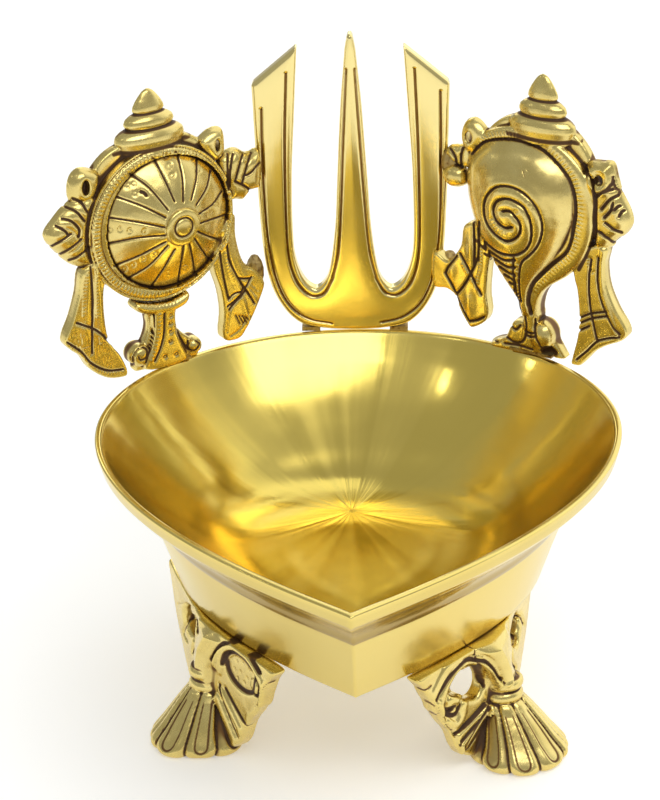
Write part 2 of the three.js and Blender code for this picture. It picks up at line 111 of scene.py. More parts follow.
def along(x, y, points):
    """Distance to an open line, and the length along it of the nearest point."""
    p = np.asarray(points, float)
    best = np.full(x.shape, 1e9)
    where = np.zeros(x.shape)
    done = 0.0
    for (ax, ay), (bx, by) in zip(p[:-1], p[1:]):
        ex, ey = bx - ax, by - ay
        length = math.hypot(ex, ey)
        wx, wy = x - ax, y - ay
        share = np.clip((wx * ex + wy * ey) / max(length**2, 1e-12), 0, 1)
        distance = np.hypot(wx - share * ex, wy - share * ey)
        nearer = distance < best
        best = np.where(nearer, distance, best)
        where = np.where(nearer, done + share * length, where)
        done += length
    return best, where


def oval(x, y, middle, halves=(1, 1)):
    """Distance from a middle point, measured in the half sizes of an oval round it."""
    return np.hypot((x - middle[0]) / halves[0], (y - middle[1]) / halves[1])


def bump(distance, width):
    """One at no distance, and fading out over the width."""
    return np.exp(-((distance / width) ** 2))


def crown(d, low, high, width):
    """Height that rises in a quarter round from low at the outline to high inside."""
    t = np.clip(-d / width, 0, 1)
    return low + (high - low) * np.sqrt(np.clip(1 - (1 - t) ** 2, 0, 1))


def smooth_min(a, b, r):
    """Smaller of two values, rounded where they are within r of each other."""
    h = np.clip(0.5 + 0.5 * (b - a) / r, 0, 1)
    return b + (a - b) * h - r * h * (1 - h)


def smooth_max(a, b, r):
    return -smooth_min(-a, -b, r)


# Castings: a solid field on a grid, carved and turned into a mesh


class Casting:
    """Field over a grid in millimetres, negative inside the solid: x across, y up, z outwards."""

    def __init__(self, low, high, step=STEP):
        self.step = step
        self.low = np.array(low, float)
        count = [int(math.ceil((b - a) / step)) + 1 for a, b in zip(low, high)]
        axes = [a + step * np.arange(n) for a, n in zip(low, count)]
        self.x, self.y = np.meshgrid(axes[0], axes[1], indexing="ij")
        self.z = axes[2].astype(np.float32)
        self.field = np.full(count, 6.0, np.float32)
        self.ink_and_shade = np.zeros(self.x.shape, np.float32)
        self.stain = None

    def volume(self):
        """The three coordinates, ready to broadcast over the field."""
        return self.x[:, :, None], self.y[:, :, None], self.z[None, None, :]

    def add(self, d, top, back, edge=0.7, blend=0.5):
        """Joins on the solid inside d, between the back and the top."""
        rows, columns = self.window(d < 3.0)
        cut = (slice(*rows), slice(*columns))
        flat = lambda v: np.broadcast_to(v, self.x.shape)[cut][:, :, None].astype(np.float32)
        body = smooth_max(flat(d), self.z - flat(top), edge)
        body = smooth_max(body, flat(back) - self.z, edge)
        self.field[cut] = smooth_min(self.field[cut], body, blend)

    def add_solid(self, body, blend=0.5):
        self.field = smooth_min(self.field, body.astype(np.float32), blend)

    def window(self, mask):
        rows, columns = np.where(mask.any(1))[0], np.where(mask.any(0))[0]
        return (rows[0], rows[-1] + 1), (columns[0], columns[-1] + 1)

    def look_along(self, slide, plane=0.0):
        """Finds the front surface, and where each of its points is seen in an upright plane."""
        inside = self.field < 0
        top = inside.shape[2] - 1 - np.argmax(inside[:, :, ::-1], axis=2)
        top = np.where(inside.any(2), top, np.searchsorted(self.z, 0.0))
        height = blur_flat(self.z[top].astype(np.float32), 1, 1)
        self.height = height
        self.seen = self.x + slide[0] * (height - plane), self.y + slide[1] * (height - plane)

    def near_front(self):
        return np.clip((self.z - self.height[:, :, None] + 3) / 2, 0, 1)

    def carve(self, depth, ink_and_shade=1.0):
        """Sinks the front by depth, and marks it as dark there."""
        self.field += depth[:, :, None].astype(np.float32) * self.near_front()
        self.ink_and_shade = np.maximum(self.ink_and_shade, ink_and_shade * np.clip(depth / 0.4, 0, 1))

    def emboss(self, height):
        self.field -= height[:, :, None].astype(np.float32) * self.near_front()

    def near(self, path):
        """Distance to a smooth line as it is seen, and the length along it."""
        return along(*self.seen, curve(path, 5))

    def row_along(self, path, pitch):
        """Distance to a line as it is seen, and to the nearest of the spots in a row along it."""
        distance, where = self.near(path)
        return distance, (where + pitch / 2) % pitch - pitch / 2

    def lines(self, paths, width=0.4, depth=0.5, ink_and_shade=1.0):
        """Engraved lines through points as they are seen."""
        cut = np.zeros(self.x.shape)
        for path in paths:
            cut = np.maximum(cut, depth * bump(self.near(path)[0], width))
        self.carve(cut, ink_and_shade)

    def beads(self, path, pitch, size, height):
        """Row of small raised beads along a path as it is seen."""
        distance, step = self.row_along(path, pitch)
        self.emboss(height * bump(distance, size) * bump(step, size))

    def ticks(self, path, pitch, length, depth, ink_and_shade=0.6):
        """Row of short cuts across a path as it is seen."""
        distance, step = self.row_along(path, pitch)
        self.carve(depth * bump(distance, length) ** 0.5 * bump(step, pitch * 0.22), ink_and_shade)

    def rings(self, spots, radius=0.7, depth=0.3):
        """Small round punch marks."""
        cut = np.zeros(self.x.shape)
        for spot in spots:
            cut = np.maximum(cut, depth * bump(oval(*self.seen, spot) - radius, 0.25))
        self.carve(cut, 0.6)

    def hole_seen(self, spot, half_sizes, through):
        """Oval hole or pit where it is seen."""
        away = oval(*self.seen, spot, half_sizes)
        wall = ((1 - away) * min(half_sizes)).astype(np.float32)[:, :, None]
        floor = -9.0 if through else self.height[:, :, None] - 2.6
        self.field = smooth_max(self.field, np.minimum(wall, self.z - floor), 0.5)
        self.ink_and_shade = np.maximum(self.ink_and_shade, np.clip(1.4 - away, 0, 1))

    def darken(self, amount):
        """Marks the solid as dark, by an amount for each point of the grid."""
        if self.stain is None:
            self.stain = np.zeros(self.field.shape, np.float32)
        self.stain = np.maximum(self.stain, amount.astype(np.float32))

    def cut_below(self, level):
        """Flat underside at a height of the plaque."""
        self.field = smooth_max(self.field, (level - self.y)[:, :, None].astype(np.float32), 0.3)

    def roughen(self, amount, cell, seed):
        """Uneven surface of a sand casting."""
        self.field += amount * soft_noise(self.field.shape, cell / self.step, seed)

    def cavity(self, reach):
        """How much solid lies round each point, over half in a crevice and under half on an edge."""
        solid = np.clip(0.5 - self.field / self.step, 0, 1)
        size = max(int(round(reach / self.step)), 1)
        for axis in range(3):
            for _ in range(2):
                solid = box_blur(solid, size, axis)
        return solid


def soft_noise(shape, cell, seed):
    """Smooth random numbers of about -1 to 1, with lumps of one cell."""
    draw = np.random.default_rng(seed)
    counts = [int(n / cell) + 4 for n in shape]
    values = draw.uniform(-1.6, 1.6, counts)
    for axis, n in enumerate(shape):
        at = np.arange(n) / cell + 1
        base = np.floor(at).astype(int)
        t = at - base
        weights = (
            (1 - t) ** 3 / 6, (3 * t**3 - 6 * t**2 + 4) / 6, (1 + 3 * t + 3 * t**2 - 3 * t**3) / 6,
            t**3 / 6,
        )
        values = np.moveaxis(values, axis, -1)
        values = sum(w * np.take(values, base + k - 1, axis=-1) for k, w in enumerate(weights))
        values = np.moveaxis(values, -1, axis)
    return values.astype(np.float32)


def box_blur(values, size, axis):
    pad = [(0, 0)] * 3
    pad[axis] = (size + 1, size)
    total = np.cumsum(np.pad(values, pad, mode="edge"), axis=axis, dtype=np.float32)
    ahead = np.take(total, np.arange(2 * size + 1, total.shape[axis]), axis=axis)
    behind = np.take(total, np.arange(0, total.shape[axis] - 2 * size - 1), axis=axis)
    return (ahead - behind) / (2 * size + 1)


def blur_flat(values, size, passes=2):
    """Flat map with its corners softened."""
    size = max(int(round(size)), 1)
    for axis in (0, 1):
        for _ in range(passes):
            values = box_blur(values[:, :, None], size, axis)[:, :, 0]
    return values


def surface_net(field):
    """Points in grid units and quads of the surface where the field is zero."""
    inside = field < 0
    shape = np.array(field.shape) - 1
    corners = [(i, j, k) for i in (0, 1) for j in (0, 1) for k in (0, 1)]
    part = lambda a, c: a[tuple(slice(o, o + n) for o, n in zip(c, shape))]
    count = sum(part(inside, c).astype(np.int8) for c in corners)
    cells = np.argwhere((count > 0) & (count < 8))
    value = {c: field[tuple((cells + c).T)] for c in corners}
    total = np.zeros((len(cells), 3))
    crossings = np.zeros(len(cells))
    for c in corners:
        for axis in range(3):
            if c[axis]:
                continue
            d = tuple(1 if a == axis else v for a, v in enumerate(c))
            crossed = (value[c] < 0) != (value[d] < 0)
            share = np.where(crossed, value[c] / np.where(crossed, value[c] - value[d], 1), 0)
            spot = np.array(c, float)[None, :].repeat(len(cells), 0)
            spot[:, axis] += share
            total += spot * crossed[:, None]
            crossings += crossed
    points = cells + total / crossings[:, None]
    index = np.full(shape, -1, np.int64)
    index[tuple(cells.T)] = np.arange(len(cells))
    quads = []
    for axis in range(3):
        one, two = (axis + 1) % 3, (axis + 2) % 3
        here = tuple(slice(0, n) if a == axis else slice(1, n) for a, n in enumerate(shape))
        next_to = tuple(slice(1, n + 1) if a == axis else slice(1, n) for a, n in enumerate(shape))
        flips = inside[here] != inside[next_to]
        edges = np.argwhere(flips) + [0 if a == axis else 1 for a in range(3)]
        rising = inside[tuple(edges.T)]
        step_one, step_two = np.eye(3, dtype=int)[one], np.eye(3, dtype=int)[two]
        ring = [edges - step_one - step_two, edges - step_two, edges, edges - step_one]
        quad = np.stack([index[tuple(r.T)] for r in ring], 1)
        quads.append(np.where(rising[:, None], quad, quad[:, ::-1]))
    return points, np.vstack(quads)


def sample(volume, points):
    """Values of a grid at points between its nodes."""
    base = np.clip(np.floor(points).astype(int), 0, np.array(volume.shape) - 2)
    share = points - base
    total = np.zeros(len(points))
    for i in (0, 1):
        for j in (0, 1):
            for k in (0, 1):
                weight = np.prod([s if o else 1 - s for o, s in zip((i, j, k), share.T)], axis=0)
                total += weight * volume[tuple((base + (i, j, k)).T)]
    return total


def sample_flat(values, points):
    """Values of a flat map under points of the grid."""
    return sample(np.repeat(values[:, :, None], 2, 2), points * [1, 1, 0])


def highest_near(values, reach):
    """Largest of the values within a few cells."""
    for axis in (0, 1):
        values = np.max([np.roll(values, k, axis) for k in range(-reach, reach + 1)], axis=0)
    return values


def mesh_object(name, points, faces, attributes, smooth=True):
    """Object from points in metres, faces as an array of quads, and numbers on its points."""
    mesh = bpy.data.meshes.new(name)
    mesh.vertices.add(len(points))
    mesh.vertices.foreach_set("co", np.asarray(points, np.float32).ravel())
    sides = faces.shape[1]
    mesh.loops.add(faces.size)
    mesh.loops.foreach_set("vertex_index", faces.ravel().astype(np.int32))
    mesh.polygons.add(len(faces))
    mesh.polygons.foreach_set("loop_start", np.arange(0, faces.size, sides, dtype=np.int32))
    mesh.update(calc_edges=True)
    mesh.validate()
    for key, values in attributes.items():
        layer = mesh.attributes.new(key, "FLOAT", "POINT")
        layer.data.foreach_set("value", np.asarray(values, np.float32))
    mesh.polygons.foreach_set("use_smooth", np.full(len(mesh.polygons), smooth))
    piece = bpy.data.objects.new(name, mesh)
    bpy.context.scene.collection.objects.link(piece)
    return piece


def cast(name, casting, place, node, look, side=1, sides=0.0):
    """The casting as a piece that stands for a CAD node."""
    points, quads = surface_net(casting.field)
    fine = sample(casting.cavity(FINE_REACH), points)
    broad = sample(casting.cavity(BROAD_REACH), points)
    ink_and_shade = sample_flat(casting.ink_and_shade, points)
    local = casting.low + points * casting.step
    ink_and_shade = ink_and_shade * np.clip((local[:, 2] + 2) / 2, 0, 1)
    # Patina and painted shade on the side walls that lie deeper than the front face, weaker on faces turned
    # to the back
    if sides:
        front = sample_flat(highest_near(casting.height, int(1.4 / casting.step)), points)
        slope = np.stack([sample(part, points) for part in np.gradient(casting.field)], 1)
        facing = slope[:, 2] / (np.linalg.norm(slope, axis=1) + 1e-6)
        deep = np.clip((front - local[:, 2] - 1.1) / 2.6, 0, 1) * np.clip((facing + 0.8) / 0.4, 0.15, 1)
        ink_and_shade = np.maximum(ink_and_shade, sides * deep)
    if casting.stain is not None:
        ink_and_shade = np.maximum(ink_and_shade, sample(casting.stain, points))
    marks = {"crevice": fine - 0.5, "hollow": broad - 0.5, "ink_and_shade": ink_and_shade}
    if side < 0:
        local[:, 0] *= -1
        quads = quads[:, ::-1]
    piece = mesh_object(name, place_points(local, place), quads, marks)
    return dress(piece, look, node)


def dress(piece, look, *nodes):
    """Gives a piece its material, and the CAD nodes that it stands for."""
    material, slot = look
    piece.data.materials.append(material)
    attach(piece, "root")
    if nodes:
        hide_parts(*nodes)
    return piece


# Places: x across, y up, z outwards or towards the bowl, each turned about the vertical


def place_points(local, place):
    x, y, height, turn = place
    c, s = math.cos(turn), math.sin(turn)
    row_x = x + local[:, 0] * c + local[:, 2] * s
    row_y = y + local[:, 0] * s - local[:, 2] * c
    row_z = height + local[:, 1]
    return np.stack([row_x + CENTRE[0], row_y + CENTRE[1], row_z], 1) * MM


def lengths(points):
    """Length along a line of points, up to each of them."""
    return np.concatenate([[0], np.cumsum(np.linalg.norm(np.diff(points, axis=0), axis=1))])


def bezier(a, b, c, d, count):
    t = np.linspace(0, 1, count)[:, None]
    a, b, c, d = (np.array(p, float) for p in (a, b, c, d))
    return (1 - t) ** 3 * a + 3 * (1 - t) ** 2 * t * b + 3 * (1 - t) * t * t * c + t**3 * d


def bowl_edge(inset, count=120):
    """Right half of the outline at an inset, from the middle of the back to the tip."""
    width, back = HALF_WIDTH - inset, BACK_REACH - inset
    tip = TIP_REACH - inset / math.sin(TIP_HALF_ANGLE)
    share = tip / TIP_REACH
    bend = (math.sin(TIP_HALF_ANGLE) * TIP_HANDLE * share, math.cos(TIP_HALF_ANGLE) * TIP_HANDLE * share)
    rear = bezier((0, back), (width * 0.5523, back), (width, back * 0.5523), (width, 0), count)
    fore = bezier((width, 0), (width, -SIDE_HANDLE * share), (bend[0], bend[1] - tip), (0, -tip), count)
    return np.vstack([rear, fore[1:]])


# Camera, fitted to the rim, crease and base outlines in the photograph

AZIMUTH = math.radians(2.0)
ELEVATION = math.radians(26.0)
ROLL = math.radians(1.31)
DISTANCE = 900.0
FOCAL_PIXELS = 3169.8
IMAGE_HEIGHT = 800
TARGET = Vector((-7.8, 0.0, 8.4))


def add_camera():
    """Camera at the photograph's place."""
    back = Vector(
        (
            math.sin(AZIMUTH) * math.cos(ELEVATION),
            -math.cos(AZIMUTH) * math.cos(ELEVATION),
            math.sin(ELEVATION),
        )
    )
    level = Vector((math.cos(AZIMUTH), math.sin(AZIMUTH), 0))
    upright = back.cross(level)
    right = level * math.cos(ROLL) - upright * math.sin(ROLL)
    up = upright * math.cos(ROLL) + level * math.sin(ROLL)
    data = bpy.data.cameras.new("camera")
    data.sensor_fit = "VERTICAL"
    data.sensor_height = 36.0
    data.lens = FOCAL_PIXELS * data.sensor_height / IMAGE_HEIGHT
    camera = bpy.data.objects.new("camera", data)
    spot = (TARGET + back * DISTANCE + Vector((CENTRE[0], CENTRE[1], RIM))) * MM
    turn = Matrix((right, up, back)).transposed().to_4x4()
    camera.matrix_world = Matrix.Translation(spot) @ turn
    bpy.context.scene.collection.objects.link(camera)
    bpy.context.scene.camera = camera


# Bowl: one skin of outlines, from the middle of the floor over the lip to the underside


def bowl_profile():
    """Inset and depth of each ring, with close rings at the edges."""
    inside = curve(
        [
            (66, 38.8), (59, 38.75), (52, 38.5), (42, 36.9), (33.6, 33.2), (26, 26.6),
            (20, 21.2), (14, 15.3), (8, 8.4), (4.6, 3.9), (2.5, 0.9),
        ],
        7,
    )
    lip = [(2.1, 0.35), (1.75, 0.06), (1.2, 0.0), (0.6, 0.02), (0.2, 0.12), (0.0, 0.45), (0.05, 0.9)]
    face = [(0.3, 2.0), (0.62, 3.4), (0.8, 4.0)]
    cove = curve(
        [
            (0.95, 4.4), (2.4, 6.1), (4.9, 8.4), (8.0, 10.9), (10.9, 13.6), (12.8, 16.3), (13.9, 18.9),
            (14.35, 19.7),
        ],
        4,
    )
    band = [
        (14.5, 20.0), (14.62, 20.3), (14.9, 21.2), (16.2, 25.2), (18.4, 31.5), (20.6, 38.0), (21.7, 41.3),
    ]
    under = [(21.95, 42.0), (22.2, 42.25), (22.8, 42.3), (30, 42.3), (45, 42.3), (60, 42.3)]
    return np.vstack([inside, lip, face, cove, band, under])


def full_outline(inset):
    right = bowl_edge(inset, 200)
    return np.vstack([right, (right[1:-1] * [-1, 1])[::-1]])


def even(points, shares):
    """Points at the given shares of a closed outline's length."""
    ring = np.vstack([points, points[:1]])
    length = lengths(ring)
    at = shares * length[-1]
    return np.stack([np.interp(at, length, ring[:, k]) for k in (0, 1)], 1)


def make_bowl(look):
    """Skin of the bowl, with its floor and underside closed by fans."""
    count = 440
    shares = np.arange(count) / count
    rings = []
    for inset, depth in bowl_profile():
        outline_points = even(full_outline(inset), shares)
        rings.append(np.column_stack([outline_points, np.full(count, -depth)]))
    points = np.vstack(rings)
    points = np.vstack([points, [[0, -12, -FLOOR_DEPTH], [0, -12, -BOWL_HEIGHT]]])
    ring, around = np.meshgrid(np.arange(len(rings) - 1), np.arange(count), indexing="ij")
    ahead = (around + 1) % count
    here, below = ring * count, (ring + 1) * count
    quads = np.stack([here + around, below + around, below + ahead, here + ahead], -1)
    place = (points + [CENTRE[0], CENTRE[1], RIM]) * MM
    depth = bowl_profile()[:, 1]
    # Patina on the outside above the crease, with painted shade that grows darker towards it
    outside = np.arange(len(depth)) > np.argmin(depth)
    above_crease = np.clip((CREASE_DEPTH - depth) / 0.5, 0, 1)
    deeper = 0.22 + 0.5 * np.clip((depth - 4) / 16, 0, 1) ** 1.3
    stain = outside * above_crease * deeper * np.clip(depth - 0.5, 0, 1)
    stain = np.append(np.repeat(stain, count), [0, 0])
    # Painted reflection: deeper colour inside, where the walls reflect each other
    inner = np.clip((np.argmin(depth) - np.arange(len(depth))) / 4, 0, 1)
    inner = np.append(np.repeat(inner, count), [1, 0])
    piece = mesh_object("bowl_skin", place, quads.reshape(-1, 4), {"ink_and_shade": stain, "inner": inner})
    close_end(piece, np.arange(count), len(points) - 2, False)
    close_end(piece, (len(rings) - 1) * count + np.arange(count), len(points) - 1, True)
    return dress(piece, look, "bowl")


def close_end(piece, ring, middle, turned):
    """Fan of triangles from a ring of points to a middle point."""
    ahead = np.roll(ring, -1)
    fans = np.stack([ring, ahead, np.full(len(ring), middle)], 1)
    if turned:
        fans = fans[:, ::-1]
    mesh = piece.data
    first_loop, first_face = len(mesh.loops), len(mesh.polygons)
    mesh.loops.add(fans.size)
    mesh.polygons.add(len(fans))
    corners = np.empty(len(mesh.loops), np.int32)
    mesh.loops.foreach_get("vertex_index", corners)
    corners[first_loop:] = fans.ravel()
    mesh.loops.foreach_set("vertex_index", corners)
    starts = np.empty(len(mesh.polygons), np.int32)
    mesh.polygons.foreach_get("loop_start", starts)
    starts[first_face:] = first_loop + 3 * np.arange(len(fans))
    mesh.polygons.foreach_set("loop_start", starts)
    mesh.update(calc_edges=True)
    mesh.polygons.foreach_set("use_smooth", np.ones(len(mesh.polygons), bool))


# Tilak: a bevelled plate with two arms and a spike, and lines cut inside its edges

TILAK_THICKNESS = 5.4
TILAK_SIDE = [
    (0, 0.3), (8, 0.6), (16, 2.3), (21.2, 7.2), (25, 15), (27, 26), (28, 42), (28.6, 60), (29.1, 79),
]
TILAK_GAP = [
    (15.5, 91), (16.9, 68), (17.9, 50), (18, 29), (17, 22), (14.6, 16.4), (11.4, 14), (8.8, 16.2),
    (7.2, 20.5), (5.4, 34), (4.6, 48), (3.1, 73), (1.6, 90),
]


def make_tilak(look, place):
    """Plate with two arms and a spike, bevelled all round."""
    side = curve(TILAK_SIDE, 6)
    corner = [(28.6, 79.9), (16.2, 90.6)]
    gap = curve(TILAK_GAP, 6)
    right = np.vstack([side, corner, gap, [(0.9, 93.8)]])
    tip = [(0.4, 94.6), (-0.4, 94.6)]
    left = right[::-1] * [-1, 1]
    shape = np.vstack([right, tip, left[:-1]])
    casting = Casting((-30.5, -0.6, -3.3), (30.5, 95.6, 3.3), STEP * 0.76)
    x, y = casting.x, casting.y
    d = polygon(x, y, shape)
    half = TILAK_THICKNESS / 2
    # Faces that crown a little towards the edges, and a worn bevel all round
    top = crown(d, half - 1.0, half, 1.5) - 0.25 * bump(d, 3.0)
    casting.add(d, top, -top, 0.35, 0.05)
    casting.look_along((0, 0))
    casting.lines(
        [
            [
                (-26.3, 72), (-26.5, 58), (-26.2, 42), (-25.3, 28), (-23.2, 16.5), (-19.5, 8.6),
                (-14, 4.2), (-7, 2.6),
            ],
            [(26.3, 77), (26.4, 60), (26.2, 42), (25.4, 28), (23.5, 17), (20, 9.2), (14.5, 4.6), (8, 2.8)],
            [
                (18.8, 84), (19.6, 62), (19.9, 36), (19.4, 24), (17.3, 16.2), (13.2, 12), (9.5, 12.6),
                (6.6, 17.6),
            ],
            [
                (-18.8, 83), (-19.8, 60), (-19.9, 34), (-19.3, 23.5), (-17, 16), (-13, 11.8),
                (-9.3, 12.5), (-6.4, 17.6),
            ],
            [(-1.2, 84), (-2.6, 60), (-3.4, 42), (-4.6, 26), (-6.5, 17.5)],
            [(1.3, 84), (2.6, 60), (3.6, 42), (4.9, 26), (6.8, 17.5)],
        ],
        0.34, 0.55,
    )
    casting.roughen(0.05, 9, 5)
    return cast("tilak_plate", casting, place, "tilak", look)


# Finial of stacked rolls: heights above its foot, and radii
FINIAL = [
    (-3.0, 9.8), (-1.6, 10.3), (-0.2, 10.7), (1.4, 11.3), (2.8, 10.9), (3.9, 9.6), (4.5, 8.2),
    (4.75, 7.2), (5.2, 7.7), (6.2, 8.1), (7.4, 7.6), (8.4, 6.2), (8.9, 5.0), (9.2, 4.5), (9.8, 5.1),
    (11.0, 4.9), (12.6, 4.0), (14.2, 2.8), (15.3, 1.8), (15.9, 0.9), (16.2, 0.0), (18.2, -2.5),
]
LOWER_SEAM, UPPER_SEAM = 4.75, 9.15
FINIAL_FLATNESS = 0.46


def add_finial(casting, x, foot, z, wide=1.0, tall=1.0):
    """Spike over two rolls with deep seams, flattened from front to back."""
    gx, gy, gz = casting.volume()
    across = np.hypot(gx - x, (gz - z) / FINIAL_FLATNESS) / wide
    height = (gy - foot) / tall
    radius = np.interp(height, [h for h, _ in FINIAL], [r for _, r in FINIAL])
    body = np.maximum((across - radius) * 0.66, np.maximum(foot - 2.6 - gy, PLAQUE_BACK - gz))
    casting.add_solid(body, 0.12)
    seam = np.maximum(bump(height - LOWER_SEAM, 0.5), bump(height - UPPER_SEAM, 0.45))
    seam = seam + 0.9 * bump(height + 1.0, 0.8)
    casting.darken(seam * (np.abs(across - radius) < 3))


# Chakra plaque

# How far a point moves over the plane, as it is seen, for each millimetre that it stands out
CHAKRA_SLIDE = (0.60, -0.57)
CONCH_SLIDE = (-0.62, -0.57)
PLAQUE_BACK = -4.0
RING_CENTRE, RING_RADIUS = (-1.8, 46.0), 24.0
DISC_CENTRE, DISC_HALVES = (0.7, 45.8), (19.9, 20.4)
HUB = (1.7, 46.3)
HUB_SEEN = (7.2, 41.1)
BEADS_OF_RING = 54


def slid(points, slide, height):
    """Points seen at a height, put back over the plane."""
    return np.asarray(points, float) - np.array(slide) * height


def add_plate(casting, points, top, back, rim=1.4, slide=(0, 0), height=0.0, edge=0.8, blend=0.5):
    """Plate with a rounded front edge over an outline of seen points."""
    d = outline(casting.x, casting.y, slid(points, slide, height))
    casting.add(d, crown(d, top - rim, top, 2.2), back, edge, blend)
    return d


def from_ring(casting):
    """Distance from the ring's centre."""
    return oval(casting.x, casting.y, RING_CENTRE)


def from_disc(casting):
    """Distance outside the disc's oval edge."""
    return oval(casting.x, casting.y, DISC_CENTRE, DISC_HALVES) * DISC_HALVES[1] - DISC_HALVES[1]


def add_wheel(casting):
    """Ring, domed disc and hub."""
    x, y = casting.x, casting.y
    # Shoulders and the flat web behind the ring
    add_plate(
        casting,
        [(-24, 60), (-21.5, 66), (-14.5, 71), (0, 73), (7.5, 71.5), (14, 67.6), (19, 62), (0, 50)], -0.6,
        PLAQUE_BACK, 0.6,
    )
    r = from_ring(casting)
    roll = np.sqrt(np.clip(1 - ((r - RING_RADIUS + 2.3) / 1.7) ** 2, 0, 1))
    outer = np.sqrt(np.clip(1 - ((r - RING_RADIUS + 0.2) / 1.0) ** 2, 0, 1))
    top = np.maximum(1.8 + 1.5 * roll, 1.6 + 1.0 * outer)
    top = np.where(from_disc(casting) < 0.4, 0.3, top)
    casting.add(r - RING_RADIUS, top, PLAQUE_BACK, 0.25, 0.2)
    # Domed disc with its top off the middle, under the hub
    (disc_x, disc_y), (disc_a, disc_b) = DISC_CENTRE, DISC_HALVES
    bx, by = x - disc_x, y - disc_y
    for _ in range(3):
        rho = np.clip(np.hypot(bx / disc_a, by / disc_b), 0, 1.3)
        bx = x - disc_x - (HUB[0] - disc_x) * (1 - rho**2)
        by = y - disc_y - (HUB[1] - disc_y) * (1 - rho**2)
    rho = np.hypot(bx / disc_a, by / disc_b)
    dome = 1.2 + 7.9 * (1 - np.clip(rho, 0, 1) ** 2.1)
    casting.add((rho - 1) * disc_b, dome, PLAQUE_BACK, 0.4, 0.15)
    hub_r = oval(x, y, HUB)
    hub_top = 9.4 + 0.7 * np.sqrt(np.clip(1 - (hub_r / 5.9) ** 6, 0, 1)) - 0.05 * hub_r
    casting.add(hub_r - 5.7, hub_top, 0, 0.35, 0.1)


def mark_spokes(casting):
    """Spokes and punch marks as they are seen, and the rings of the hub."""
    spokes = [
        [(-2, 65), (1.6, 57), (4.5, 50.2)], [(5.5, 65.5), (7.2, 57), (7.3, 49.6)],
        [(12, 63), (11.8, 56), (10, 49.6)], [(16.5, 57.2), (15, 52), (11.5, 47.6)],
        [(20, 50), (17, 46.6), (12.5, 44.8)], [(21, 42.5), (17, 42), (12.8, 41.7)],
        [(18.6, 35), (15, 37), (11.7, 39.3)], [(14.8, 29.5), (12.8, 33), (10.6, 37.3)],
        [(9.6, 25.2), (9.6, 30), (8.8, 36)], [(4, 24.8), (5.4, 30), (6.8, 36)],
        [(-5, 25.7), (-0.6, 30), (3.8, 35.6)], [(-13, 30.1), (-5, 32.4), (1.6, 37.3)],
        [(-17, 35.3), (-8, 36.2), (0.9, 38.6)], [(-18.6, 42.7), (-9, 41.8), (0.9, 40.7)],
        [(-17.4, 50.5), (-8, 46.6), (0.8, 43.2)], [(-15, 56.5), (-6, 51), (1.4, 46)],
        [(-10, 62.3), (-4, 56.4), (2.2, 48.2)],
    ]
    # Their inner ends are drawn down to the hub
    spread = lambda u, v, t: (u, v - 1.0 + 1.2 * t)
    spokes = [[spread(u, v, min(math.hypot(u - 7.2, v - 42) / 18, 1)) for u, v in path] for path in spokes]
    casting.lines(spokes, 0.28, 0.6)
    casting.rings(
        [
            (-17.5, 47), (-14, 46.2), (-10.8, 44.8), (-6, 43.3), (2, 65), (3, 62), (4, 58.5), (-11, 59),
            (-9, 59), (-8.5, 55.8), (-13.5, 33.5), (-10.5, 34), (-7, 35), (-3, 35.5), (16, 43.4),
            (18, 46), (1, 28.5), (6.6, 28.5), (12.5, 58),
        ]
    )
    casting.lines([[(-6.8, 56), (-5.6, 55.3), (-4.8, 54.2)]], 0.45, 0.7)
    seen_hub = oval(*casting.seen, HUB_SEEN)
    casting.carve(0.45 * bump(seen_hub - 2.9, 0.3))
    casting.emboss(0.25 * np.clip(1 - (seen_hub / 2.7) ** 4, 0, 1))


def mark_ring(casting):
    """Beads of the ring, and the line outside them."""
    r = from_ring(casting)
    angle = np.arctan2(casting.y - RING_CENTRE[1], casting.x - RING_CENTRE[0])
    bead = np.abs(np.sin(angle * BEADS_OF_RING)) ** 0.8
    outside = from_disc(casting) > 0.8
    on_ring = bump(r - RING_RADIUS + 2.3, 1.1) * outside
    casting.carve(0.6 * (1 - bead) * on_ring, 0.6)
    casting.carve(0.4 * bump(r - RING_RADIUS + 0.75, 0.22) * outside, 0.6)


def add_pedestal(casting, s):
    """Roll under the ring, column, and base with two scrolls."""
    x, y = casting.x, casting.y
    add_plate(
        casting,
        [
            (-10.6, 20), (-9.6, 21.6), (-4.4, 20.2), (2, 19.6), (7.6, 21), (8.2, 19.2), (6.8, 17),
            (2.6, 15.8), (-4.4, 16.2), (-8.6, 17.8),
        ],
        2.8, PLAQUE_BACK + 1, 2.0, s, 2.2, 0.5, 0.12,
    )
    add_plate(
        casting,
        [
            (-6.4, 18.6), (-6.6, 13), (-7.8, 9.2), (-9.8, 6.4), (-11.4, 3), (-11, -0.6), (9.6, -0.6),
            (10.2, 3), (7, 6.4), (4.2, 9.2), (3.2, 13), (3.2, 18.6),
        ],
        0.8, PLAQUE_BACK + 0.8, 1.0, s, 0.8,
    )
    d = outline(
        x, y,
        slid(
            [
                (-4.2, 17.5), (-4.8, 11), (-6.2, 5.8), (-8, -0.6), (6, -0.6), (4.4, 5), (2.8, 10),
                (2.4, 17.5),
            ],
            s, 2.2,
        ),
    )
    casting.add(d, crown(d, 1.6, 2.5, 1.2), PLAQUE_BACK, 0.4, 0.2)
    for spot, radius, height in (((-9.6, 4.6), 3.5, 2.6), ((8.6, 3.2), 2.6, 2.4)):
        away = np.hypot(x - spot[0] + s[0], y - spot[1] + s[1])
        casting.add(
            away - radius, 0.2 + height * np.sqrt(np.clip(1 - (away / radius) ** 2, 0, 1)), PLAQUE_BACK,
            0.5, 0.4,
        )


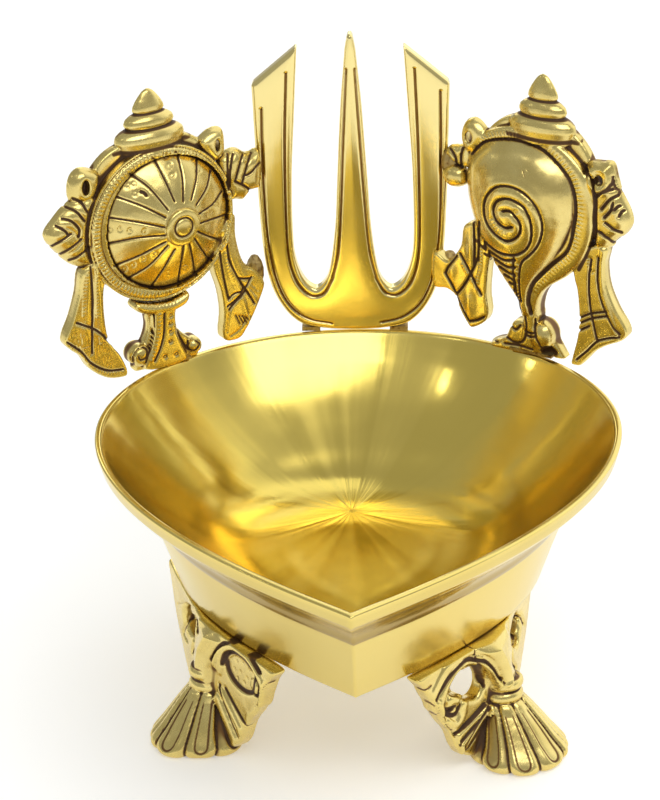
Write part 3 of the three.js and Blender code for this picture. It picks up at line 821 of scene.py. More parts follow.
def mark_pedestal(casting):
    """Lines, punch marks and beads of the pedestal as they are seen."""
    casting.lines(
        [
            [(-1.0, 16.2), (-1.6, 9.3), (-3.2, 4.8), (-5, 1.6)],
            [(-4.3, 16.5), (-5.0, 10.2), (-6.5, 5.4), (-8, 2)],
            [(2.9, 15.6), (3.2, 9.1), (4.6, 5.4), (6, 3)],
            [(-12, 2), (-12.2, 5), (-10, 7.4), (-7.6, 6.2), (-7.6, 3.8), (-9.6, 3.2), (-10.4, 4.6)],
            [(6.4, 5.4), (6.6, 2.6), (8.8, 1.6), (10.4, 3.2), (9, 4.6)],
        ],
        0.3, 0.55,
    )
    casting.rings([(1.1, 15.0), (0.9, 12.5), (0.8, 9.7), (0.6, 6.7), (-1.4, 2.2), (2.4, 2.0)], 0.5, 0.4)
    casting.beads([(-2.6, 16.2), (-3.3, 10), (-4.8, 5.2), (-6.4, 2)], 1.2, 0.42, 0.5)
    casting.ticks([(-10.4, 21.8), (-4, 19.6), (3, 19.4), (7.6, 21.6)], 1.15, 0.7, 0.35)


def add_chakra_knots(casting, s):
    """Loop and knot on the left, horn and knot on the right, all lower beside the ring."""
    cap = 1.1 + 0.9 * np.maximum(from_ring(casting) - RING_RADIUS, -1)
    add_pillow(
        casting,
        [
            (-20.2, 65), (-23, 67.2), (-26.4, 68), (-29.2, 66), (-30.3, 62), (-29.6, 58.4), (-26, 57),
            (-22, 58.5),
        ],
        2.2, 3.4, s, 0, cap=cap,
    )
    add_pillow(
        casting,
        [
            (-38.8, 50), (-35, 55), (-30.5, 58.3), (-24, 60), (-21, 57), (-20, 48), (-22.5, 38.5),
            (-26, 37.6), (-30, 38.6), (-34.5, 43),
        ],
        2.8, 4.5, s, 0, cap=cap,
    )
    add_pillow(
        casting, [(12.6, 67), (15, 69.6), (18, 70.6), (20.8, 70), (21.6, 66), (21, 62), (17, 60)], 2.0,
        3.0, s, 0,
    )
    add_pillow(
        casting,
        [
            (20, 47), (19, 60), (22, 62.4), (25.5, 62.6), (29, 60.4), (33, 60.5), (33, 48.8), (29.6, 48),
            (26.8, 45.8), (24.6, 46.4),
        ],
        2.4, 4.0, s, 0, cap=cap,
    )
    casting.look_along(s)
    casting.hole_seen((19.3, 64.4), (0.75, 1.9), through=True)
    casting.hole_seen((-24.4, 61.4), (1.2, 2.4), through=False)
    casting.lines(
        [
            [(-32.8, 54.1), (-29.7, 52.4), (-27.3, 49.3), (-27.6, 47)],
            [(-34.9, 52.4), (-31.8, 49.8), (-31, 48.6)], [(-37.4, 46.4), (-33.2, 47.2), (-30, 48.6)],
            [(-34.6, 43.4), (-30.9, 44.0), (-26.8, 46.1)], [(-31.4, 40.9), (-28.5, 41), (-24.4, 43.0)],
            [(-31.4, 57.4), (-28, 55), (-25.4, 51.4)], [(-29, 59.4), (-26.4, 57.6), (-24.4, 54)],
        ],
        0.36, 0.7,
    )
    casting.lines(
        [[(-33, 51.6), (-29.6, 49.6), (-27.4, 46.6)], [(-34.5, 43), (-30, 43), (-26.6, 45.2)]], 0.3, 0.35,
        0.5,
    )
    casting.lines(
        [
            [(22.4, 61.5), (22.2, 55), (21.6, 48)], [(24.2, 61), (23.2, 56), (22.4, 50)],
            [(27.5, 60), (26, 56), (24.6, 52)], [(30.4, 60), (28.4, 55), (27, 51)],
            [(33, 56), (30, 53.5), (27.4, 53)], [(24.6, 52), (27.6, 50), (29.8, 48)],
        ],
        0.34, 0.7,
    )


def make_chakra(look, place):
    """Wheel with its finial, knots, ribbons and pedestal."""
    casting = Casting((-42, -2.6, -4.6), (36.5, 90.5, 11.8), STEP)
    s = CHAKRA_SLIDE
    add_wheel(casting)
    casting.look_along(s)
    mark_spokes(casting)
    mark_ring(casting)
    add_finial(casting, -2.3, 70.5, -2.0)
    add_pedestal(casting, s)
    add_chakra_knots(casting, s)
    add_cloth_left(casting, s)
    add_cloth_right(casting, s)
    casting.look_along(s)
    mark_pedestal(casting)
    casting.cut_below(0.0)
    casting.roughen(0.05, 2.4, 11)
    casting.roughen(0.05, 6.0, 12)
    # sides sets the patina and painted shade on the side walls
    return cast("chakra_plaque", casting, place, "chakra", look, sides=0.62)


def add_pillow(casting, points, top, width, slide, height, back=-2.9, low=-1.4, cap=9.0):
    """Cushioned form over an outline of seen points, held down by a cap."""
    d = outline(casting.x, casting.y, slid(points, slide, height))
    casting.add(
        d, np.minimum(crown(d, low, top, width), cap),
        np.minimum(back + 1.2 - 1.2 * np.clip(-d / 2, 0, 1), low - 0.4), 0.6, 0.5,
    )
    return d


def add_ribbon(casting, points, slide, top=2.0, back=-2.2):
    """Flat strip of cast cloth over an outline of seen points."""
    d = outline(casting.x, casting.y, slid(points, slide, 1.2))
    casting.add(d, crown(d, top - 0.5, top, 1.0), back, 0.5, 0.4)
    return d


def add_cloth_left(casting, s):
    """Ribbon on the left, with its folds, hems and fringes."""
    d = add_ribbon(
        casting,
        [
            (-19.5, 38), (-27, 37), (-29, 29.5), (-31.4, 22.5), (-34.4, 15.8), (-33, 13), (-29.4, 9.6),
            (-26.4, 4.6), (-21, 0.6), (-15.2, -0.4), (-14.4, 1), (-16.4, 6.4), (-19.6, 11.6), (-20.8, 17),
            (-21, 27),
        ],
        s,
    )
    casting.look_along(s)
    u, v = casting.seen
    on = np.clip(-d, 0, 1)
    # Long soft fold down the middle, and the hem roll along the lower edge
    casting.emboss(
        on * (0.55 * bump(u + 26.6 - (v - 25) * 0.12, 1.3) + 0.5 * bump(u + 22.4, 0.9)) * (v > 12)
    )
    casting.lines(
        [
            [(-24.6, 37), (-24.4, 28), (-25, 18), (-25.5, 9.6)],
            [(-30, 20.6), (-25, 17.6), (-22, 14.8), (-19.6, 11.6)],
            [(-33.6, 15.4), (-29, 11), (-26, 6.6), (-21, 2.9), (-15.6, 1.8)],
        ],
        0.34, 0.6,
    )
    casting.lines([[(-27.6, 20.5), (-26.8, 30), (-25.8, 36)]], 0.25, 0.25, 0.5)
    casting.beads([(-27.9, 22.5), (-27, 29), (-25.9, 35)], 1.1, 0.36, 0.35)
    casting.beads([(-23.4, 21), (-23.2, 28), (-22.8, 35)], 1.05, 0.4, 0.45)
    fringe = [[(-31.6 + k * 1.05, 18.6 - k * 0.45), (-30.6 + k * 1.1, 12.6 - k * 0.95)] for k in range(5)]
    fringe += [[(-24.4 + k * 0.95, 15.4 - k * 1.0), (-24.2 + k * 1.25, 7 - k * 0.95)] for k in range(5)]
    casting.lines(fringe, 0.17, 0.22, 0.7)
    casting.ticks([(-32.4, 13.4), (-27.6, 7.6), (-22.6, 2.8), (-16, 0.6)], 1.0, 0.6, 0.3)


def add_cloth_right(casting, s):
    """Ribbon on the right, with its folds, creases and fringes."""
    d = add_ribbon(
        casting,
        [
            (17, 37), (16, 27), (18.2, 18.5), (19, 11), (18.4, 3.6), (20, 1.8), (24.2, 1.8), (27, 4.8),
            (30, 9.8), (32.6, 15), (33.2, 18), (30, 23), (27, 25), (25, 29.6), (23.8, 36), (23.6, 42),
        ],
        s,
    )
    casting.look_along(s)
    u, v = casting.seen
    on = np.clip(-d, 0, 1)
    casting.emboss(
        on * (0.5 * bump(u - 22.2 + (v - 27) * 0.25, 0.9) + 0.35 * bump(u - 26.5 + (v - 20) * 0.35, 1.4))
    )
    casting.lines(
        [
            [(18.6, 31), (19.2, 25), (20.2, 19), (21, 15)],
            [(20.8, 33), (21.6, 27.4), (24.6, 20.6), (28, 14.6), (29.6, 11.6)],
            [(21, 15), (22.6, 16.2), (25, 16.6)], [(21, 11.6), (23.4, 13.6), (26.4, 16.2)],
            [(20.6, 12.8), (24, 14.6), (26, 17.4)], [(26.6, 17.4), (29, 20.4)], [(24.6, 21), (28.6, 20)],
        ],
        0.32, 0.55,
    )
    casting.lines(
        [[(23.2 + k * 1.05, 9.4 - k * 0.4), (24.6 + k * 1.15, 6 - k * 0.1)] for k in range(4)], 0.24, 0.4,
    )
    casting.lines(
        [[(26 + k * 1.0, 15.4 + k * 0.9), (28.6 + k * 0.9, 11.4 + k * 1.3)] for k in range(4)], 0.16,
        0.22, 0.6,
    )
    casting.lines([[(20, 4.6), (20.6, 9), (21.8, 12)], [(21, 3), (24.6, 4.6), (27.6, 8.6)]], 0.22, 0.3, 0.7)
    casting.beads([(20.6, 30), (21.2, 25), (23, 20.4)], 1.05, 0.34, 0.3)


# Shankha plaque


def add_shell(casting):
    """Whorl of the shell and the lip round it."""
    x, y = casting.x, casting.y
    # Web behind the shell
    add_plate(
        casting,
        [(-20, 62), (-17, 67.5), (-10.5, 73), (0, 75), (10, 72.6), (16.6, 65.5), (18, 58), (0, 52)], -0.4,
        PLAQUE_BACK, 0.6,
    )
    # Whorl, tapering down into the neck
    d = outline(
        x, y,
        [
            (-22.2, 54), (-21, 60), (-15, 66), (-7, 68), (4, 66.5), (12.5, 58), (14, 48), (11, 38),
            (6.5, 29.5), (2, 22), (0.5, 12), (-4.2, 12), (-5.8, 17.5), (-10, 23), (-14.5, 29.5),
            (-19, 38), (-21.6, 46),
        ],
    )
    dome = blur_flat(crown(d, 0.0, 9.4, 17.5), 1.4 / casting.step)
    casting.add(d, dome, PLAQUE_BACK, 0.5, 0.3)
    # Lip that runs over the top, down the right side and into the foot
    path = [
        (-21, 58.5), (-18.4, 63.4), (-13.5, 67), (-6, 68.8), (2, 68), (9.5, 63.8), (14.6, 57.4),
        (16.2, 50), (15.6, 42.5), (12.8, 35.6), (8.0, 30.2), (3.0, 25.4), (0.0, 20.4), (-1.0, 15),
        (-0.8, 9),
    ]
    lip_path = curve(path, 6)
    distance, where = along(x, y, lip_path)
    length = np.sum(np.linalg.norm(np.diff(lip_path, axis=0), axis=1))
    share = where / length
    half = np.interp(
        share, [0, 0.1, 0.3, 0.42, 0.55, 0.75, 0.86, 1], [1.6, 2.2, 2.7, 3.3, 3.7, 3.9, 2.7, 2.2],
    )
    lip_top = np.interp(share, [0, 0.2, 0.5, 0.8, 1], [1.2, 2.4, 3.2, 3.2, 2.8])
    roll_top = lip_top - 1.6 + 1.6 * np.sqrt(np.clip(1 - (distance / half) ** 2, 0, 1))
    casting.add(distance - half, roll_top, PLAQUE_BACK, 0.5, 0.15)


def mark_spiral(casting):
    """Double spiral of the shell, with rounded whorls between its lines."""
    outer = [
        (-11.8, 42.7), (-9.5, 43), (-7.3, 41.5), (-6, 39.3), (-6.2, 36.8), (-8, 34.6), (-10.5, 33.5),
        (-14, 34.8), (-17, 38), (-18, 42.5), (-17, 46.5), (-14, 49.7), (-10, 50.7), (-5.5, 49.8),
        (-1.5, 46.7), (0.7, 43), (1.2, 39), (0, 34.6), (-2.5, 31), (-5.3, 28), (-6.1, 25), (-6.1, 20),
        (-5.4, 15.5),
    ]
    inner = [
        (-8.7, 38.3), (-11, 37.6), (-13.6, 39), (-14.9, 42), (-14, 45), (-11.5, 46.6), (-8.5, 46.7),
        (-5.2, 45.3), (-3, 42), (-2.3, 38.3), (-2.7, 34.8), (-4.6, 31.6), (-8.4, 29.4), (-13.5, 29.6),
        (-19.5, 33.6),
    ]
    u, v = casting.seen
    near = np.minimum(casting.near(outer)[0], casting.near(inner)[0])
    boss = np.clip(1.2 - oval(u, v, (-8.5, 40.5)) / 11, 0, 1)
    casting.emboss(0.75 * boss * np.clip(near / 1.6, 0, 1) ** 0.7 * np.clip(1.6 - near / 4, 0, 1))
    casting.lines([outer, inner], 0.35, 0.75)
    casting.ticks([(-15.2, 39.6), (-13.4, 36.8), (-10, 36)], 1.0, 0.5, 0.35)
    casting.ticks([(-15.6, 48.9), (-10, 49.6), (-5, 48.6), (-1.5, 45)], 1.5, 0.5, 0.12, 0.3)
    casting.rings([(-7.2, 43.6)], 0.55, 0.35)


def mark_lip(casting):
    """Deep line along the inside of the lip, opening out down the neck, and the lip's cuts."""
    u, v = casting.seen
    groove = [
        (-21.4, 59.4), (-18.6, 62.8), (-16, 64.5), (-7, 66.4), (0, 65.5), (6, 62), (10.5, 57), (12.5, 50),
        (12, 43), (10, 35), (5, 29.5), (0, 24), (-2, 20.5), (-2.8, 16), (-1.8, 12.6),
    ]
    distance, where = along(u, v, curve(groove, 6))
    wide = np.interp(where, [0, 60, 88, 100, 108, 118], [0.34, 0.42, 0.62, 1.0, 0.9, 0.45])
    casting.carve(np.interp(where, [0, 80, 100, 118], [0.75, 0.9, 1.7, 0.8]) * bump(distance, wide))
    casting.ticks([(-19.8, 62.6), (-15.5, 66.2), (-7, 68), (0.4, 67)], 1.15, 0.8, 0.4)
    casting.ticks(
        [
            (3, 65.6), (7.4, 62.8), (11.8, 57.4), (13.9, 50), (13.4, 42.6), (11.4, 34.6), (6.6, 28.9),
            (2, 23.4), (-0.4, 19.4),
        ],
        1.25, 0.75, 0.32,
    )


def mark_neck(casting):
    """Ribs under the spiral and the strip of cuts down the neck."""
    casting.lines(
        [
            [
                (-16.2 + k * 1.75, 29.6 - k * 2.2), (-11.5 + k * 1.0, 27.4 - k * 1.9),
                (-7.6, 28 - k * 2.4),
            ] for k in range(5)
        ],
        0.4, 0.6,
    )
    casting.ticks([(-14.5, 27.9), (-11, 26.8), (-8, 27)], 1.0, 0.4, 0.3)
    casting.lines([[(-8.1, 28.6), (-8.3, 25), (-7.5, 20.5), (-6.4, 16), (-5.2, 12)]], 0.36, 0.55)
    casting.ticks([(-6.9, 27), (-7.1, 23.6), (-6.6, 19.6), (-5.7, 15.6)], 1.05, 0.5, 0.35)
    casting.lines([[(-5.2, 57), (-4.6, 55)], [(-3.9, 57.4), (-3.4, 57)]], 0.3, 0.3)


def add_conch_foot(casting, s):
    """Scroll with a tail on the left, rings in the middle, lobe on the right."""
    x, y = casting.x, casting.y
    add_plate(
        casting,
        [
            (-16, -2), (-16.4, -0.6), (-14, 1), (-10.6, 2.6), (-9, 6), (-7.4, 8.6), (-4.6, 9), (-2, 8),
            (-2, -2),
        ],
        1.4, PLAQUE_BACK, 1.2, s, 1.0, 0.6, 0.3,
    )
    add_plate(
        casting, [(-4.5, 13), (-4.6, 7), (-5.5, 0), (2.5, 0), (0.2, 7), (0.4, 13)], 2.0, PLAQUE_BACK, 1.2,
        s, 1.6, 0.6, 0.3,
    )
    lobe = oval(x, y, (2.8, 6.4), (3.9, 4.8))
    casting.add((lobe - 1) * 4.6, 0.2 + 3.6 * np.sqrt(np.clip(1 - lobe**2, 0, 1)), PLAQUE_BACK, 0.5, 0.6)
    add_plate(
        casting, [(-1, 10), (2.6, 9.4), (6, 6), (8.8, 1.8), (10.4, -1.4), (-2, -1.4)], 0.4, PLAQUE_BACK,
        1.2, s, 0.0, 0.6, 0.5,
    )


def add_conch_knots(casting, s):
    """Loops, round knob and long knot, and the line that parts them from the lip."""
    add_pillow(
        casting,
        [(-25, 66), (-23.4, 69.8), (-20.4, 71), (-17.4, 69), (-16, 66), (-18, 62), (-22, 60), (-24.4, 62)],
        2.0, 3.2, s, 0,
    )
    add_pillow(
        casting,
        [(-31.4, 51.6), (-29.6, 54.8), (-26.4, 55.6), (-23.5, 54), (-23, 50), (-25.6, 48.2), (-29, 48.4)],
        2.6, 3.4, s, 0,
    )
    add_pillow(
        casting, [(-30.4, 56), (-29.6, 60.4), (-26, 61.6), (-22, 62), (-20, 56), (-24, 54.6)], 0.8, 2.4,
        s, 0,
    )
    add_pillow(
        casting,
        [
            (15.8, 62), (17, 64.6), (20.6, 65.2), (24.4, 65.4), (26, 61), (27.4, 56.6), (30.2, 51.6),
            (31, 48), (29.6, 44.8), (26.6, 41.6), (24.2, 38.8), (20.4, 38.2), (18.4, 41), (17.6, 50),
        ],
        2.9, 4.2, s, 0,
    )
    casting.look_along(s)
    u, v = casting.seen
    casting.emboss(0.9 * bump(oval(u, v, (19.9, 59.3), (1.0, 1.25)) - 3.0, 1.0))
    casting.hole_seen((-22.8, 64.3), (1.1, 1.7), through=True)
    casting.hole_seen((19.6, 58.7), (1.3, 1.5), through=True)
    casting.lines(
        [
            [(16.4, 61.4), (18, 57), (19, 54.4), (22, 56.4), (24.4, 59)],
            [(18.8, 53.4), (21, 55.4), (24.6, 57.2)], [(20.6, 50), (23.4, 53.6), (26.4, 55.8)],
            [(24.8, 50.6), (26, 52), (27, 52.6)], [(22, 46), (25, 44.6), (27.6, 44.4)],
            [(20, 43), (23, 41.6), (25.6, 40.8), (27.6, 42.6)],
            [(21.6, 47.6), (23.6, 50.2), (24.4, 52.8)], [(26.4, 49), (27.4, 50.8), (28.4, 51.4)],
            [(24.4, 61), (25, 58.4), (27, 56.8)],
        ],
        0.42, 0.75,
    )
    casting.lines(
        [
            [(-24.4, 61), (-25, 58), (-24.8, 54.4)], [(-28.6, 60), (-26.8, 57.4), (-26.6, 55)],
            [(-29.6, 57.4), (-27.4, 55.6), (-25, 55)],
        ],
        0.4, 0.7,
    )
    # Line between the lip and the pieces outside it
    casting.lines(
        [[(15.4, 63), (17.4, 58.4), (18.7, 52.6), (18.8, 47), (18.8, 41), (17.4, 36.4), (15, 31)]], 0.55,
        1.0,
    )


def mark_conch_foot(casting):
    """Lines of the foot as they are seen."""
    casting.lines(
        [
            [(-3.6, 11), (-3.2, 8), (-3.4, 4.8), (-4.6, 2.6), (-7, 2), (-9.6, 3)],
            [(-0.2, 11), (-0.4, 8), (0, 4.8), (1.6, 2.2)], [(-3.4, 6.4), (-1.8, 6), (-0.2, 6.4)],
            [(-3.4, 5.2), (-1.8, 4.8), (-0.2, 5.2)], [(-10.4, 0.8), (-6, 1.2), (-1, 0.8)],
            [(-8.6, 7.4), (-6.6, 6.2), (-5, 8)], [(-15.8, -0.6), (-14.6, 0.6), (-12.6, 0.8)],
        ],
        0.36, 0.55,
    )


def make_conch(look, place):
    """Shell with its finial, knots, ribbons and foot."""
    casting = Casting((-36.5, -2.6, -4.6), (33, 92.5, 11.4), STEP)
    s = CONCH_SLIDE
    add_shell(casting)
    casting.look_along(s)
    mark_spiral(casting)
    mark_lip(casting)
    mark_neck(casting)
    add_finial(casting, 1.2, 70.2, -1.4, 0.94, 1.1)
    add_conch_foot(casting, s)
    add_conch_knots(casting, s)
    u, v = casting.seen
    add_cloth_of_conch(casting, s)
    casting.look_along(s)
    mark_conch_foot(casting)
    pit = oval(u, v, (4.6, 1.4), (2.6, 1.5))
    casting.carve(1.6 * np.clip(1.3 - pit, 0, 1))
    casting.cut_below(0.0)
    casting.roughen(0.04, 2.6, 21)
    casting.roughen(0.05, 6.5, 22)
    # sides sets the patina and painted shade on the side walls
    return cast("shankha_plaque", casting, place, "conch", look, sides=0.6)


def add_cloth_of_conch(casting, s):
    """Ribbons on both sides, with their folds and crossed lines."""
    d = add_ribbon(
        casting,
        [
            (19.6, 39), (23.2, 38.4), (22.5, 33.5), (23.2, 27), (26.2, 20), (29.6, 15), (30.2, 12.4),
            (28.6, 10.4), (23.5, 7.6), (20, 5), (14.6, -1.2), (12.2, -1), (12.6, 2), (14, 8), (14.5, 15),
            (13.8, 23.5), (12.8, 27), (12.4, 33),
        ],
        s,
    )
    casting.look_along(s)
    u, v = casting.seen
    on = np.clip(-d, 0, 1)
    casting.emboss(on * 0.5 * bump(u - 21.6 - np.clip(24 - v, 0, 30) * 0.4, 1.0))
    casting.lines(
        [
            [(17.9, 34), (17.2, 27), (17.8, 19), (19.2, 12.4), (20.2, 8.6)],
            [(14.4, 12.8), (18, 15), (21, 16.2), (23.4, 17)],
            [(14.6, 14.6), (17.4, 16.4), (20.6, 17.6), (23.2, 18.4)], [(14.4, 10.4), (17.6, 12.6)],
            [(13.6, 0.8), (17, 4.4), (20.4, 8.3), (24, 10), (27.6, 11.2)],
            [(20.2, 35), (20, 28), (21.6, 21), (25, 14.6), (27.6, 12)],
        ],
        0.34, 0.6,
    )
    casting.ticks([(17, 34), (17.6, 31), (19, 29.6)], 0.9, 0.5, 0.35)
    casting.beads([(13.8, 2.6), (17, 6), (20.4, 9.6)], 1.1, 0.3, 0.25)
    d = add_ribbon(
        casting,
        [
            (-14, 38), (-23.4, 37), (-25, 30), (-27, 26.4), (-29.6, 24), (-34, 26), (-35, 20),
            (-34, 14.6), (-30, 14.8), (-27.6, 13.6), (-25.5, 9), (-22.6, 4.6), (-21.2, 3.8), (-17, 6.6),
            (-15.8, 10), (-16.4, 16), (-15.6, 26),
        ],
        s,
    )
    casting.look_along(s)
    u, v = casting.seen
    on = np.clip(-d, 0, 1)
    casting.emboss(
        on * (
            0.7 * bump(oval(u, v, (-22.4, 11.5), (1.6, 3.4)), 1.0)
            + 0.5 * bump(oval(u, v, (-22, 29), (1.2, 4.5)), 1.0)
            + 0.5 * bump(oval(u, v, (-28.3, 20.5), (1.5, 2.6)), 1.0)
        )
    )
    casting.lines(
        [
            [(-25.6, 27), (-23, 23), (-20, 17.6), (-18.4, 15)],
            [(-19.4, 27), (-21.6, 21.8), (-24.4, 16.6), (-26.6, 13.6)],
            [(-26.6, 26), (-29.6, 21.6), (-30.4, 20)], [(-30.6, 19.6), (-28.6, 16.6), (-27, 13.6)],
            [(-21, 38), (-20.6, 30), (-20.8, 24)], [(-19.4, 38), (-19.2, 31), (-19.4, 26)],
            [(-26.8, 13), (-24.8, 9), (-22.6, 5.6)], [(-22.4, 5.4), (-19.4, 6.6), (-17.2, 8)],
        ],
        0.36, 0.65,
    )
    casting.beads([(-18.6, 30), (-18.6, 24), (-19.6, 19.4), (-19.8, 16)], 1.05, 0.4, 0.45)
    casting.beads([(-24.6, 23.6), (-23, 21), (-21, 18)], 1.0, 0.34, 0.35)


# Legs: x towards the lamp's back, y up from the ground and z outwards; the left one is mirrored

LEG_TOP = 38.4
COLUMN = [
    (19.0, [(-5, 2), (-3.6, 5), (0, 6), (3.6, 4.4), (4.8, 0), (3.5, -4), (-3.5, -4.4), (-5.2, -1)]),
    (
        26.0,
        [(-6.4, 2.4), (-4.2, 5.4), (-0.9, 6.2), (3, 3.8), (4.4, 0), (3.2, -4), (-4.4, -4.2), (-6.6, -1)],
    ),
    (
        31.5,
        [(-9.8, 2.2), (-7, 5), (-2.6, 6.3), (2.2, 3.2), (3.8, 0), (3.2, -3.6), (-8.4, -3.8), (-10, -1)],
    ),
    (
        36.4,
        [(-13, 2), (-9.8, 4.0), (-5.2, 5.6), (1.2, 2.8), (3.4, 0), (3.2, -3.4), (-12, -3.4), (-13.2, -1)],
    ),
    (
        38.4,
        [(-13, 1), (-9.8, 2.4), (-5.6, 3.4), (0.6, 2.0), (3.0, 0), (3.2, -3.4), (-12, -3.4), (-13.2, -1)],
    ),
]


def add_loft(casting, levels, rounding, blend):
    """Upright solid through rings of corners at rising heights."""
    heights = [level for level, _ in levels]
    corners = np.array([ring for _, ring in levels], float)
    gx, gz = np.meshgrid(casting.x[:, 0], casting.z, indexing="ij")
    body = np.full(casting.field.shape, 6.0, np.float32)
    for j, y in enumerate(casting.y[0]):
        beyond = max(heights[0] - y, y - heights[-1])
        if beyond > 2:
            continue
        ring = [[np.interp(y, heights, corners[:, c, k]) for k in (0, 1)] for c in range(corners.shape[1])]
        body[:, j] = smooth_max(polygon(gx, gz, ring) - rounding, beyond, 0.8)
    casting.add_solid(body * 0.9, blend)


def add_turned_plate(casting, points, turn, front, back, eye=None):
    """Plate over an outline, turned back about the leg's upright axis, with an eye through it."""
    x, y, z = casting.volume()
    rows = slice(np.searchsorted(casting.x[:, 0], -2.5), None)
    wx = (x * math.cos(turn) - z * math.sin(turn))[rows]
    wz = (x * math.sin(turn) + z * math.cos(turn))[rows]
    wx, wy = np.broadcast_arrays(wx, y[rows] + 0 * z)
    d = outline(wx, wy, points)
    if eye is not None:
        d = smooth_max(d, -outline(wx, wy, eye), 0.6)
    body = smooth_max(d, wz - front + 0.5 * bump(d, 1.4), 1.2)
    body = smooth_max(body, back - wz, 1.0)
    casting.field[rows] = smooth_min(casting.field[rows], body.astype(np.float32), 0.6)


def add_foot(casting, foot):
    """Shell of petals that fans out from the ankle to the ground, with a channel in each wide petal."""
    x, y, z = casting.volume()
    top = 17.6
    rise = np.clip(y / top, 0, 1)
    spread = 1 - rise**1.3
    ankle, ground = np.array(foot["ankle"]), np.array(foot["ground"])
    cx = ankle[0] + (ground[0] - ankle[0]) * spread
    cz = ankle[1] + (ground[1] - ankle[1]) * spread
    dx, dz = x - cx, z - cz
    rho = np.hypot(dx, dz)
    angle = np.degrees(np.arctan2(dx, dz))
    reach = foot["reach"] - foot["flat"] * bump(angle - foot["flat_at"], 38.0)
    wide = foot["neck"] + (reach - foot["neck"]) * spread
    toe = np.clip((3.4 - y) / 3.4, 0, 1)
    wide = wide - 2.6 * (1 - np.sqrt(1 - toe**2)) + 0.9 * bump(y - 3.0, 3.0)
    edges = np.array(foot["grooves"], float)
    middle, half = (edges[:-1] + edges[1:]) / 2, (edges[1:] - edges[:-1]) / 2
    lowest = edges[0]
    turned = (angle - lowest) % 360 + lowest
    which = np.clip(np.searchsorted(edges, turned, side="right") - 1, 0, len(middle) - 1)
    half_angle = half[which]
    share = (turned - middle[which]) / half_angle
    half_width = np.radians(half_angle) * wide
    depth = np.minimum(0.62 * half_width, 2.1)
    surface = wide - depth * (1 - np.sqrt(np.clip(1 - np.abs(share) ** 2.6, 0, 1)))
    across = share * half_width
    # Channel with a round end above the toe
    toes = np.array(foot["channel_ends"], float)[which]
    groove_half = np.clip(0.42 * half_width, 0.25, 1.9)
    below = np.minimum(y - toes - groove_half, 0)
    channel = np.hypot(across, below) - groove_half
    has = (half_angle > 9) & (toes > 0)
    fade = np.clip((top - 1.0 - y) / 2.0, 0, 1)
    sunk = 0.55 * np.clip(-channel / 0.5, 0, 1) + 0.45 * bump(channel, 0.34)
    surface = surface - np.where(has, sunk * fade, 0)
    body = (rho - surface) * 0.86
    body = smooth_max(body, y - top, 1.0)
    casting.add_solid(body, 0.35)
    near = np.clip(1.6 - np.abs(body), 0, 1)
    valley = np.clip((np.abs(share) - 0.86) / 0.14, 0, 1) * np.clip(half_width / 1.2, 0.3, 1)
    line = np.where(has, bump(channel, 0.42) * fade, 0)
    casting.darken(near * np.maximum(valley, 0.8 * line))


def add_collar(casting, centre, radius, levels):
    """Two rolls tied round the ankle."""
    x, y, z = casting.volume()
    for level, half in levels:
        tilt = 0.06 * (x - centre[0])
        across = np.hypot(x - centre[0], z - centre[1])
        body = np.hypot(np.maximum(across - radius + half, 0), y - level + tilt) - half
        casting.add_solid(body, 0.12)
        seam = bump(np.abs(y - level + tilt) - half * 0.98, 0.45) * bump(across - radius + 1.1, 1.2)
        casting.darken(0.9 * seam)


WING = [
    (-36, 38.4), (-33.6, 34.5), (-30.8, 29.2), (-28.2, 24.6), (-25.4, 20.4), (-22.6, 17), (-20.6, 13),
    (-18.6, 8.4), (-15.6, 4.6), (-11, 2.4), (-4, 2.0), (2, 8), (2, 38.4),
]
REAR_WING = [
    (36, 38.4), (33.5, 33), (30.6, 27.6), (28, 22.6), (24.6, 17.4), (21, 12.2), (16, 7.4), (10, 4),
    (3, 3), (-1, 8), (-1, 38.4),
]
EYE = [
    (-24, 30), (-21.5, 33.2), (-18, 34.4), (-14, 33.8), (-10.5, 31), (-8.6, 27), (-8.8, 23.6),
    (-11, 21.6), (-14.5, 22.6), (-19.6, 26),
]
WING_BEND = math.radians(24)


